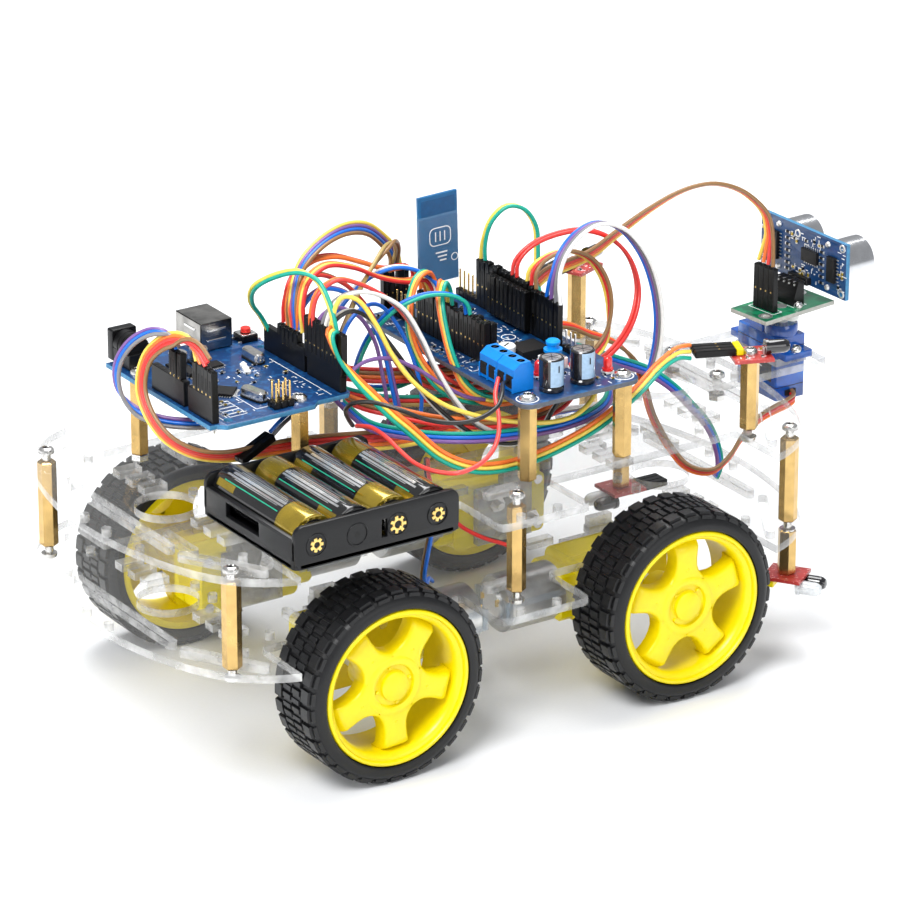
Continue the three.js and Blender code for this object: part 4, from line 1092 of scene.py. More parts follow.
def motor(name, end, side, node):
    """Gearbox shell in two halves with its screws, end tab, metal can and clear strap."""
    base = Matrix.Translation((end * AXLE_X, side * MOTOR_Y, AXLE_Z))
    base = base @ Matrix.Diagonal((end, -side, 1, 1))
    piece = Piece(name, base)
    shell = rounded(11.2 - 18.5, 0, 37, 21.6, 2.2)
    flip = Matrix.Rotation(math.pi / 2, 4, "X")
    piece.prism(shell, -9.2, 11.6, YELLOW, 0.5, flip)
    piece.prism(inset(shell, 0.25), 2.3, 0.6, YELLOW, 0, flip)
    piece.prism(shell, 2.8, 6.4, YELLOW, 0.5, flip)
    piece.prism(rounded(12.9, 0, 5, 6, 1.2), -1.3, 2.6, YELLOW, 0.2, flip)
    for x, z in ((8.6, 8.2), (8.6, -8.2), (-13, 8.2), (-13, -8.2)):
        for y in (-9.6, 9.0):
            piece.lathe([(0, 0), (1.5, 0), (1.7, 0.2), (1.7, 0.6), (0, 0.6)], STEEL,
                        Matrix.Translation((x, y, z)) @ Z_TO_Y, 14)
    piece.box(-28, 0, 0, 9, 17.6, 17.4, YELLOW, 1.4)
    can = Matrix.Translation((-53, 0, 0)) @ Z_TO_X
    piece.lathe([(0, 0), (5.2, 0), (5.4, 0.3), (5.4, 1.2), (9.2, 1.4), (9.9, 2.1), (9.9, 23),
                 (0, 23)], MOTOR_CAN, can, 32)
    piece.lathe([(0, -0.2), (4.9, -0.2), (4.9, 0.3), (0, 0.3)], WHITE, can, 20)
    for side_y in (-1, 1):
        piece.box(-40, side_y * 9.4, 0, 27, 0.7, 7.5, SHRINK, 0.15)
    piece.box(-52.6, 0, 0, 0.8, 19, 7.5, SHRINK, 0.15)
    for y in (-1, 1):
        piece.box(-53.6, y * 4.2, 2, 1.6, 0.5, 2.4, GOLD, 0.1)
    return piece.done("chassis", [node])


def drive_shaft(name, end, side, node):
    """A white shaft with two flats."""
    base = Matrix.Translation((end * AXLE_X, side * MOTOR_Y, AXLE_Z))
    base = base @ Matrix.Diagonal((end, -side, 1, 1)) @ Matrix.Rotation(math.pi / 2, 4, "X")
    outline = [p for p in circle(0, 0, 2.7, 40) if abs(p[0]) < 1.95]
    piece = Piece(name, base)
    piece.prism(outline, 4.8, 27, WHITE, 0.3)
    return piece.done(f"wheel_{node[len('drive_shaft_'):]}", [node])


def drive():
    turns = {"front_right": 0, "rear_right": 33, "front_left": 20, "rear_left": 50}
    for end, end_name in ((1, "front"), (-1, "rear")):
        for side, side_name in ((1, "left"), (-1, "right")):
            name = f"{end_name}_{side_name}"
            body = "wheel_" + name
            base = Matrix.Translation((end * AXLE_X, side * WHEEL_OUT, AXLE_Z))
            if side > 0:
                base = base @ Matrix.Rotation(math.pi, 4, "Z")
            base = base @ Matrix.Rotation(math.radians(turns[name]), 4, "Y")
            tyre("tread_" + name, body, base, "tyre_" + name)
            rim("rim_" + name, body, base, "wheel_rim_" + name)
            motor("motor_" + name, end, side, "gear_motor_" + name)
            drive_shaft("shaft_" + name, end, side, "drive_shaft_" + name)
            nodes["motor_bracket_" + name].data.materials.clear()
            nodes["motor_bracket_" + name].data.materials.append(ACRYLIC_EDGE)
            bolts = Piece("bracket_bolts_" + name)
            for x in (end * 60, end * 46):
                spot = facing(x, side * 24.2, 30 + 8 * (x == end * 46), (0, -side, 0))
                nut(bolts, 0, 0, -0.2, spot)
                bolts.rod(0, 0, -1, 1.45, 5, STEEL, here=spot, sides=12)
            bolts.done("chassis")


# ---- battery holder ----


def battery():
    low, high = node_box("battery_holder")
    cx, cy = (low.x + high.x) / 2, (low.y + high.y) / 2
    length, depth, bottom = high.x - low.x, high.y - low.y, low.z
    piece = Piece("battery_tray", at(cx, cy, bottom))
    wall, height = 1.8, 14.5
    piece.plate(rounded(0, 0, length, depth, 2.2), [], 0, 1.8, TRAY, TRAY, 0.2)
    hx, hy = length / 2, depth / 2
    window = rectangle(4, 6.6, 20, 4.8)
    end_shape = [(-hy + 0.4, 0.3), (hy - 0.4, 0.3), (hy - 0.4, 9.2), (hy - 2.2, 10.4),
                 (-hy + 2.2, 10.4),
                 (-hy + 0.4, 9.2)]
    for side in (-1, 1):
        spot = Matrix.Translation((side * (hx - wall / 2), 0, 0)) @ Matrix(
            ((0, 0, 1, -wall / 2), (1, 0, 0, 0), (0, 1, 0, 0), (0, 0, 0, 1)))
        piece.plate(end_shape, [window] if side < 0 else [], 0, wall, TRAY, TRAY, 0.2, spot)
    wall_shape = rounded(0, height / 2, length, height, 3.2)
    wall_shape = [(x, max(y, 0.2) if abs(x) < hx - 0.1 or y > 4 else y) for x, y in wall_shape]
    places = (-22.5, -7.5, 7.5, 22.5)
    for side in (-1, 1):
        spot = Matrix.Translation((0, side * hy, 0)) @ Matrix(
            ((1, 0, 0, 0), (0, 0, -side, 0), (0, 1, 0, 0), (0, 0, 0, 1)))
        holes = [rectangle(2.6, 7.2, 2, 6)] if side < 0 else []
        piece.plate(wall_shape, holes, 0, wall, TRAY, TRAY, 0.25, spot)
        if side > 0:
            continue
        for i, x in enumerate(places):
            front = facing(x, -hy + 0.05, 7.4, (0, -1, 0))
            piece.lathe([(3.3, 0), (3.45, 0.35), (3.8, 0.35), (4.0, 0), (4.0, -0.2), (3.3, -0.2),
                         (3.3, 0)], TRAY, front, 32)
            # The round recess in the near wall is painted shade: a dark disc.
            piece.rod(0, 0, -0.1, 3.3, 0.13, PAINTED_SHADE_AND_MARKS, 0.02, 28, front)
            if i == 1:
                # The small hole is painted shade: a dark disc.
                piece.rod(0, 0, -0.1, 0.9, 0.2, PAINTED_SHADE_AND_MARKS, 0.02, 16, front)
                continue
            big = 1.25 if i == 2 else 1.0
            for k in range(7):
                a = 2 * math.pi * k / 7
                piece.box(1.75 * big * math.cos(a), 1.75 * big * math.sin(a), 0.2, 1.35 * big, 1.2,
                          0.35, BRIGHT_BRASS, 0.12, math.degrees(a), front)
            piece.lathe([(0.95 * big, 0), (1.7 * big, 0), (1.6 * big, 0.3), (1.1 * big, 0.35),
                         (0.95 * big, 0)], BRIGHT_BRASS, front, 24)
            # The rivet's bore is painted shade: a dark disc.
            piece.rod(0, 0, -0.05, 0.95 * big, 0.15, PAINTED_SHADE_AND_MARKS, 0.02, 16, front)
    for x in (-15, 0, 15):
        piece.box(x, 0, 2.4, 1.4, depth - 8, 1.6, TRAY, 0.5)
    for i, x in enumerate(places):
        sign = 1 if i % 2 else -1
        y = -sign * (hy - wall - 1.4)
        coil = []
        for k in range(61):
            a = 2 * math.pi * k / 15
            r = 3.4 - 1.6 * k / 60
            coil.append(Vector((x + r * math.cos(a), y + sign * (k / 60) * 1.4,
                                8.9 + r * math.sin(a))))
        piece.tube(coil, 0.3, STEEL, 6)
        piece.box(x, sign * (hy - wall - 0.3), 8.9, 6, 0.3, 7, STEEL, 0.1)
    piece.done("chassis", ["battery_holder"])
    for i in range(4):
        cell(i + 1)


def cell(number):
    """A cell with a dark wrap, gold ends, silver bands of painted highlight and a thin green line.
    """
    low, high = node_box(f"battery_cell_{number}")
    cx, cz = (low.x + high.x) / 2, (low.z + high.z) / 2
    flip = number % 2
    base = Matrix.Translation((cx, (low.y + high.y) / 2, cz))
    if flip:
        base = base @ Matrix.Rotation(math.pi, 4, "Z")
    half = (high.y - low.y) / 2
    piece = Piece(f"cell_{number}", base)
    turn = Matrix.Translation((0, -half, 0)) @ Z_TO_Y
    r, length = 7.05, 2 * half - 1.2
    piece.lathe([(0, 0.1), (5.6, 0.1), (6.2, 0.35), (6.6, 0.1), (r - 0.1, 0.25), (r, 0.7),
                 (r, 9.2)], CELL_BLACK, turn, 48)
    piece.lathe([(r, 9.2), (r, length - 12)], CELL_BLACK, turn, 48)
    piece.lathe([(r, length - 12), (r, length - 0.7), (r - 0.15, length - 0.2),
                 (r - 0.8, length), (5.4, length - 0.1)], CELL_GOLD, turn, 48)
    piece.lathe([(5.4, length - 0.1), (5.2, length - 0.3), (3.2, length - 0.3), (2.9, length),
                 (2.7, length + 1.0), (2.4, length + 1.2), (0, length + 1.2)], STEEL, turn, 32)
    bmesh.ops.remove_doubles(piece.bm, verts=piece.bm.verts, dist=0.001)
    # The silver bands below are painted highlights: reflections painted along each cell's upward
    # side, which sky turns to the top. The green line is the wrap's own print.
    sky = -1 if flip else 1
    for low_a, high_a, material, y0, y1 in (
            (136, 139, CELL_GREEN, 5, length - 13), (116, 122, CELL_PAINTED_HIGHLIGHT, 4, length - 12.5),
            (104, 113, CELL_PAINTED_HIGHLIGHT, 6, length - 12.5), (99, 101, CELL_PAINTED_HIGHLIGHT, 3, length - 13),
            (93, 96, CELL_PAINTED_HIGHLIGHT, 8, length - 14), (86, 88, CELL_PAINTED_HIGHLIGHT, 6, length - 16),
            (124, 126, CELL_PAINTED_HIGHLIGHT, 9, length - 15), (140, 160, CELL_GOLD, 2, 12),
            (64, 84, CELL_GOLD, 2, 9)):
        band(piece, r, math.radians(90 + sky * (low_a - 90)),
             math.radians(90 + sky * (high_a - 90)),
             y0 - half, y1 - half, material)
    return piece.done("chassis", [f"battery_cell_{number}"])


def band(piece, r, a0, a1, y0, y1, material):
    """A thin stripe lying on a cylinder about local Y, used for printed lines and for painted
    highlights.
    """
    if a1 < a0:
        a0, a1 = a1, a0
    ring_block(piece, a0, a1, y0, y1, r - 0.1, r + 0.045, material, 0.0)


# ---- controller board ----


def controller():
    unit = Matrix.Translation((-89.1, 50.8, 0)) @ Matrix.Rotation(-math.pi / 2, 4, "Z")
    top = CONTROLLER_TOP
    inset_u = 66.1
    outline = [(0, 0), (inset_u, 0), (inset_u, 2.4), (68.6, 5), (68.6, 37.6), (inset_u, 40.2),
               (inset_u, 51.8), (inset_u - 1.5, 53.3), (0, 53.3)]
    holes = [circle(15.24, 50.2, 1.6, 20), circle(64.64, 7.62, 1.6, 20)]
    board = Piece("controller_circuit", unit)
    board.plate(outline, holes, top - 1.6, 1.6, BLUE_BOARD, BLUE_EDGE, 0.1)
    for u0, count in ((27.3, 8), (50.2, 6)):
        header(board, u0 + count * 1.27, 2.6, top, count, (1, 0))
    for u0, count in ((17.6, 10), (44.4, 8)):
        header(board, u0 + count * 1.27, 50.8, top, count, (1, 0))
    for i in range(9):
        plug(board, 64.2 - i * GRID, 50.8, top + 3.4 + 2.4, 14.2 - 0.35 * luck.random(),
             faces=(0, -1))
    for i in range(5):
        plug(board, 34.6 - i * GRID + GRID, 50.8, top + 2.2, 9.6, faces=(0, -1), lean=0.4)
    for u in (64.2, 61.7, 59.1, 56.6, 54):
        plug(board, u, 2.6, top + 3.4, 14.2, faces=(0, -1))
    for u in (44.3, 41.8, 39.2):
        plug(board, u, 2.6, top + 3.4, 14, faces=(0, -1))
    for row in (0, 1):
        pins(board, 64.9 - GRID * row, 27.9, top, 3, (0, 1), 6.4)
    chip(board, 44, 18.5, top, 7, 7, 1, 8, 45, all_sides=True)
    chip(board, 22, 28, top, 4.6, 4.6, 0.9, 6, 0, all_sides=True)
    chip(board, 24, 17.5, top, 6.4, 3.6, 1.5, 4, 0)
    for u, v, turn in ((53.5, 24, 12), (24, 41.6, 0)):
        crystal = at(u, v, top, turn)
        board.prism(rounded(0, 0, 11, 4.4, 2.1), 0.1, 0.6, EPOXY, 0.1, crystal)
        board.prism(rounded(0, 0, 10.4, 3.7, 1.8), 0.6, 2.9, STEEL, 0.5, crystal)
    for u, v in ((16.4, 17.6), (16.4, 25.4)):
        board.box(u, v, top + 0.5, 6.4, 6.4, 0.9, EPOXY, 0.3)
        board.lathe([(0, 0.9), (3, 0.9), (3.1, 1.3), (3.1, 5), (2.8, 5.4), (0, 5.4)], STEEL,
                    Matrix.Translation((u, v, top)), 28)
    for k in range(3):
        lamp(board, 27 + 3 * k, 36 - k, top, 0.8, 1.6, PRINT)
    scatter(board, [(27, 7, 40, 22), (28, 26, 62, 46), (48, 8, 62, 20), (8, 24, 16, 31)], top,
            density=0.035, marks=0.08)
    pads(board, 56, 8.2, top, 6, (1, 0), r=0.6, pitch=1.9)
    for k in range(5):
        frame_line(board, 51.5 + 2.6 * k, 12.5, top, 2.2, 6.4, 0.22)
    board.box(45, 46.6, top + 0.02, 38, 0.3, 0.05, PRINT, 0.01)
    board.box(46, 6.2, top + 0.02, 36, 0.3, 0.05, PRINT, 0.01)
    frame_line(board, 55, 24, top, 13, 8, 0.25)
    screw(board, 13.97, 4, top)
    screw(board, 62.4, 35.56, top)
    for u in (14, 30, 48, 60):
        for v in (10, 24, 38):
            board.rod(u + luck.uniform(-3, 3), v, top - 2.3, 0.6, 0.8, SOLDER, 0.2, 8)
    board.done("chassis", ["controller_board"])
    usb_socket(unit, top)
    power_jack(unit, top)
    switch = Piece("reset_switch", unit)
    shaft = [circle(7, 49, 1.85, 24)]
    switch.plate(rounded(7, 49, 6.2, 6.2, 0.5), shaft, top + 0.1, 2.4, HEADER, HEADER, 0.2)
    switch.plate(rounded(7, 49, 5.6, 5.6, 0.4), shaft, top + 2.52, 0.25, STEEL, STEEL, 0.05)
    for du in (-2.4, 2.4):
        for dv in (-3.6, 3.6):
            switch.box(7 + du, 49 + dv, top + 0.4, 0.7, 1.4, 0.8, SOLDER, 0.1)
    switch.done("chassis")
    cap = Piece("reset_cap", unit)
    cap.lathe([(0, 2.85), (1.55, 2.85), (1.7, 3.0), (1.7, 4.3), (1.45, 4.5), (0, 4.5)], RED,
              Matrix.Translation((7, 49, top)), 24)
    cap.done("reset_button", ["reset_button"])
    standoff("controller_post_rear", -85.1, 36.83, UPPER_TOP + 2.2, top - 1.65,
             "controller_standoff_rear")
    standoff("controller_post_front", -53.54, -11.6, UPPER_TOP + 0.05, top - 1.65,
             "controller_standoff_front")
    foot = Piece("controller_foot_nut")
    nut(foot, -85.1, 36.83, UPPER_TOP)
    foot.done("chassis")


def usb_socket(unit, top):
    """A folded metal shell round a white tongue, open at its outer end."""
    piece = Piece("usb_shell", unit)
    u0, u1, v, w, h, t = -6.2, 9.8, 36.2, 12, 9.8, 0.45
    mid = (u0 + u1) / 2
    z = top + 0.35
    for side in (-1, 1):
        piece.box(mid, v + side * (w - t) / 2, z + h / 2, u1 - u0, t, h, TIN, 0.12)
        for zz in (3.2, 6.8):
            piece.box(mid + 1, v + side * (w / 2 + 0.03), z + zz, 7, 0.25, 1.0, STEEL, 0.12)
    for zz in (t / 2, h - t / 2):
        piece.box(mid, v, z + zz, u1 - u0, w, t, TIN, 0.12)
    piece.box(u1 - t / 2, v, z + h / 2, t, w, h, TIN, 0.1)
    for zz in (3.2, 6.8):
        piece.box(u1 + 0.03, v, z + zz, 0.3, 7.2, 0.9, STEEL, 0.14)
    piece.box(u0 + 9.8, v, z + h / 2, 10, w - 1.2, h - 1.2, HEADER, 0.2)
    piece.box(u0 + 5, v, z + h / 2 + 0.3, 8.4, 5.6, 3.2, WHITE, 0.3)
    for dv in (-1.2, 1.2):
        for zz in (-1.66, 1.66):
            piece.box(u0 + 4.6, v + dv, z + h / 2 + 0.3 + zz, 6.6, 0.8, 0.14, GOLD, 0.05)
    for side in (-1, 1):
        piece.box(2.2, v + side * 6.1, top - 0.6, 1.4, 0.5, 2.4, TIN, 0.1)
    piece.done("chassis", ["usb_socket"])


def power_jack(unit, top):
    """A moulded jack: square mouth plate, round barrel and flat rear body."""
    piece = Piece("power_jack_body", unit)
    v, z = 6.6, top + 0.3
    along = Matrix(((0, 0, 1, 0), (1, 0, 0, 0), (0, 1, 0, 0), (0, 0, 0, 1)))
    mouth = rounded(0, 5.4, 9, 10.8, 0.6)
    bore = circle(0, 6.1, 3.1, 32)
    piece.plate(mouth, [bore], -2.4, 3.4, HEADER, HEADER, 0.15, at(0, v, z) @ along)
    barrel = [(3.1, 1.0), (4.4, 1.0), (4.4, 9.6), (4.1, 10), (0, 10), (0, 8.2), (3.1, 8.2),
              (3.1, 1.0)]
    piece.lathe(barrel, HEADER, at(0, v, z + 6.1) @ Z_TO_X, 36)
    piece.box(6.2, v, z + 2.6, 10.6, 8.8, 5.2, HEADER, 0.25)
    for u in (3.4, 5.6, 7.8):
        piece.lathe([(4.38, 0), (4.6, 0.1), (4.6, 0.5), (4.38, 0.6), (4.38, 0)], HEADER,
                    at(u, v, z + 6.1) @ Z_TO_X, 36)
    piece.rod(0, 0, -1.4, 1.0, 9.6, STEEL, 0.3, 16, at(0, v, z + 6.1) @ Z_TO_X)
    for du, dv in ((11.2, 0), (5.6, 4.8)):
        piece.box(du, v + dv, top - 0.3, 0.5, 2.2, 3.6, SOLDER, 0.1)
    piece.done("chassis", ["power_jack"])


# ---- driver board ----


def driver():
    cx, cy, top = 29.5, -3.1, DRIVER_TOP
    board = Piece("driver_circuit")
    holes = [circle(cx + s * 18.65, cy + 43.7, 1.6, 20) for s in (-1, 1)]
    board.plate(rounded(cx, cy, 46, 98, 4, 8), holes, top - 1.6, 1.6, DRIVER_BOARD, GREY_EDGE, 0.1)
    near, far = 16.7, 45.3
    for i in range(23):
        y = -13.6 + i * GRID
        board.box(near, y, top + 1.25, 2.5, 2.5, 2.5, HEADER, 0.3)
        if i > 15:
            board.box(near, y, top + 5.4, 0.64, 0.64, 8, GOLD, 0.15)
            continue
        height = 12.8 + luck.uniform(-0.5, 0.5)
        plug(board, near, y, top + 1.4, height, faces=(-1, 0))
        if i % 3 != 2:
            plug(board, near + 2.6, y, top + 1.4, height - 0.6, faces=(-1, 0))
    for i in range(24):
        y = -13.6 + i * GRID
        board.box(far, y, top + 1.25, 2.5, 2.5, 2.5, HEADER, 0.3)
        if i < 19:
            high = 15.4 if 5 < i else 14
            plug(board, far, y, top + 1.6, high + luck.uniform(-0.5, 0.5), faces=(-1, 0))
            if 5 < i < 15:
                plug(board, far - 2.6, y, top + 1.4, high - 1.5, faces=(-1, 0))
        else:
            board.box(far, y, top + 5.4, 0.64, 0.64, 8, GOLD, 0.15)
    for y in (-18.6, -21.2, -23.7):
        pins(board, far, y, top, 1, (0, 1), 5.4, metal=STEEL)
    chip(board, 33, -14.5, top, 10.4, 9.4, 3.2, 7, 0)
    chip(board, 27.6, 3, top, 6.6, 4.2, 1.5, 6, 90)
    board.rod(25.6, -12.6, top, 3.1, 4.6, WHITE, 0.4, 24)
    # The trimmer's slot is painted shade: a dark bar.
    board.box(25.6, -12.6, top + 4.62, 3.6, 0.6, 0.08, PAINTED_SHADE_AND_MARKS, 0.02, 30)
    shaft = [circle(33.8, -27.6, 2.35, 24)]
    board.plate(rounded(33.8, -27.6, 7.4, 7.4, 0.6), shaft, top, 3.6, WHITE, WHITE, 0.2)
    board.plate(rounded(33.8, -27.6, 6.4, 6.4, 0.6), shaft, top + 3.62, 0.3, STEEL, STEEL, 0.05)
    for x, y, turn in ((21.8, -44.4, 0), (34.4, -43.8, 0)):
        capacitor(board, x, y, top, 4.1, 11.6, turn)
    for x, y in ((45.6, -42), (38.6, -33), (24.6, -33)):
        board.box(x, y, top + 0.5, 3.4, 3.2, 1, WHITE, 0.2)
        lamp(board, x, y, top + 1, 1.5, 5)
    for s in (-1, 1):
        x = cx + s * 18.65
        screw(board, x, cy - 43.7, top, r=2.9)
        board.lathe([(3.4, 0), (3.8, 0), (3.8, 0.06), (3.4, 0.06), (3.4, 0)], PRINT,
                    Matrix.Translation((x, cy - 43.7, top)), 36)
    scatter(board, [(26, -6, 42, 42), (22, -38, 38, -22), (9, -18, 15, 44), (36, -50, 44, -32)],
            top, density=0.03, marks=0.1)
    board.box(31.6, 14, top + 0.02, 0.3, 58, 0.05, PRINT, 0.01)
    for x, y, r in ((36.6, 2.6, 2.2), (36.6, -4.6, 1.6), (36.8, 9.6, 1.4)):
        board.lathe([(r, 0), (r + 0.35, 0), (r + 0.35, 0.06), (r, 0.06), (r, 0)], PRINT,
                    Matrix.Translation((x, y, top)), 24)
    pads(board, 9.4, -2, top, 10, (0, 1), r=0.7)
    pads(board, 49.8, 0, top, 12, (0, 1), r=0.7)
    board.done("chassis", ["driver_board"])
    terminals(top)
    cap = Piece("switch_cap_blue")
    cap.lathe([(0, 4.2), (2.1, 4.2), (2.1, 5.2), (3.1, 5.5), (3.1, 6.4), (1.9, 6.7), (1.9, 7.8),
               (2.4, 8.2), (2.4, 9.0), (1.8, 9.5), (0, 9.5)], SWITCH_CAP,
              Matrix.Translation((33.8, -27.6, top)), 28)
    cap.done("switch_button", ["driver_switch_button"])
    for side, s in (("left", -1), ("right", 1)):
        standoff("driver_post_" + side, cx + s * 18.65, cy - 43.7, UPPER_TOP + 0.05, top - 1.65,
                 "driver_standoff_" + side, turn=10)
    module()


def terminals(top):
    """Two blue screw terminals side by side, their wire mouths facing away from the board."""
    piece = Piece("terminal_pair")
    for k in (0, 1):
        y = -36.1 + 10.05 * k
        piece.prism(terminal_profile(), -4.9, 9.8, TERMINAL, 0.0,
                    Matrix.Translation((13.3, y, top)) @ SWAP_YZ)
        for s in (-2.45, 2.45):
            # The wire mouths are painted shade: dark openings on the side.
            piece.box(9.35, y + s, top + 3.6, 0.5, 3.6, 4.2, PAINTED_SHADE_AND_MARKS, 0.1)
            piece.box(9.6, y + s, top + 3.2, 0.4, 2.6, 2.4, STEEL, 0.1)
            # The screw wells are painted shade: dark rings round the screws.
            piece.rod(13.8, y + s, top + 9.5, 1.75, 0.42, PAINTED_SHADE_AND_MARKS, 0.03, 20)
            piece.rod(13.8, y + s, top + 9.6, 1.5, 0.4, STEEL, 0.1, 20)
            # The screw slots are painted shade: dark bars.
            piece.box(13.8, y + s, top + 10, 2.6, 0.4, 0.08, PAINTED_SHADE_AND_MARKS, 0.01, 20)
        for s in (-4.6, 0, 4.6):
            piece.box(9.3, y + s, top + 2.6, 0.8, 0.5, 5, TERMINAL, 0.1)
    piece.done("chassis", ["terminal_block"])


def terminal_profile():
    return [(-3.8, 0.3), (3.8, 0.3), (3.8, 7.4), (2.6, 10), (-1.2, 10), (-3.8, 8)]


def module():
    """The radio module on its edge, in a clear sleeve, its bare top end standing out."""
    spot = Matrix.Translation((31.7, 38, 0)) @ Matrix.Translation((0, 0, 132)) @ Matrix.Rotation(
        math.radians(-1.5), 4, "Y") @ Matrix.Translation((0, 0, -132))
    piece = Piece("radio_module", spot)
    low, high = 116.9, 148.2
    piece.box(0, 0, (low + high) / 2, 15.6, 1.2, high - low, MODULE, 0.15)
    piece.box(0, -0.64, high - 4.2, 13.4, 0.1, 5.6, MODULE_DARK, 0.02)
    piece.box(0, -0.1, (low + high) / 2 - 3.6, 16.2, 2.9, high - low - 7, SHRINK, 0.5)
    face = Matrix.Rotation(math.pi / 2, 4, "X")
    mark = rounded(0, 0, 8.6, 6.6, 2)
    band_loop = Matrix.Translation((0, -1.62, 133.6)) @ face
    piece.plate(mark, [rounded(0, 0, 7.9, 5.9, 1.7)], 0, 0.06, PRINT, PRINT, 0.01, band_loop)
    for dx in (-1.8, 0, 1.8):
        piece.box(dx, -1.64, 133.6, 0.4, 0.08, 3.4, PRINT, 0.01)
    for i, z in enumerate((127.8, 126.4, 125)):
        piece.box(0.4 + 0.3 * i, -1.64, z, 4.6 - i, 0.08, 0.5, PRINT, 0.01)
    piece.lathe([(1.1, 0), (1.4, 0), (1.4, 0.06), (1.1, 0.06), (1.1, 0)], PRINT,
                Matrix.Translation((5.6, -1.6, 125.2)) @ face, 20)
    for i in range(8):
        piece.box(-6.2 + 1.7 * i, 0.9, 119 + 1.5, 1.0, 0.8, 2.2, EPOXY, 0.1)
    piece.done("chassis", ["bluetooth_module"])
    foot = Piece("module_plug")
    for i in range(4):
        foot.box(24.6 + GRID * i, 38, 110, 2.4, 2.4, 3, HEADER, 0.3)
        foot.box(24.6 + GRID * i, 38, 114, 0.64, 0.64, 8, GOLD, 0.1)
        plug(foot, 13 + GRID * i, 41.4, 110, 14, faces=(0, -1), lean=4)
    foot.done("chassis")


# ---- servo and ultrasonic head ----


def servo():
    x, zb = 143.3, node_box("servo")[0].z
    piece = Piece("servo_unit")
    piece.prism(rounded(x, 0, 12, 22.6, 0.6), zb, 22.7, SERVO_CASE, 0.3)
    for z in (4.6, 18.6):
        piece.prism(rounded(x, 0, 12.1, 22.7, 0.6), zb + z, 0.25, PAINTED_SHADE_AND_MARKS, 0)
    tabs = rounded(x, 0, 11.6, 32.2, 0.8)
    piece.plate(tabs, [circle(x, s * 14.1, 1.1, 16) for s in (-1, 1)], zb + 15.9, 2.4, SERVO_CASE,
                SERVO_CASE, 0.2)
    piece.lathe([(0, 22.4), (5.8, 22.4), (5.8, 26), (5.5, 26.5), (0, 26.5)], SERVO_CASE,
                Matrix.Translation((x, -5.5, zb)), 36)
    piece.lathe([(0, 22.4), (2.7, 22.4), (2.7, 26), (2.4, 26.5), (0, 26.5)], SERVO_CASE,
                Matrix.Translation((x, 1.2, zb)), 24)
    piece.lathe([(0, 26), (2.3, 26), (2.3, 27.6), (2.1, 27.9), (0, 27.9)], WHITE,
                Matrix.Translation((x, -5.5, zb)), 24)
    for s in (-1, 1):
        screw(piece, x, s * 14.1, zb + 18.3, r=1.9)
    piece.box(x - 6.05, -0.6, zb + 10.4, 0.1, 16, 8.4, EPOXY, 0.02)
    for i, z in enumerate((12.6, 10.6, 8.6)):
        piece.box(x - 6.12, -0.6 + i, zb + z, 0.05, 9 - 2 * i, 0.5, PRINT, 0.01)
    # The wire exit is painted shade: a dark notch.
    piece.box(x, -11.5, zb + 2.4, 4.4, 0.8, 2, PAINTED_SHADE_AND_MARKS, 0.1)
    for dx in (-5, 5):
        for dy in (-10.3, 10.3):
            piece.rod(x + dx, dy, zb - 0.15, 0.8, 0.3, STEEL, 0.1, 10)
    piece.done("chassis", ["servo"])
    plate = Piece("servo_plate_sheet")
    outline = rounded(128.25, 0, 48.5, 39, 1)
    holes = [rectangle(x, 0, 12.8, 23.4), circle(111, 13, 1.6, 16), circle(111, -13, 1.6, 16)]
    plate.plate(outline, holes, UPPER_TOP + 0.3, DECK_T, ACRYLIC, ACRYLIC_EDGE, 0.12)
    for s in (-1, 1):
        screw(plate, 111, 13 * s, UPPER_TOP + 3.1)
        nut(plate, 111, 13 * s, UPPER_TOP - DECK_T - 2.3)
    plate.done("chassis", ["servo_plate"])


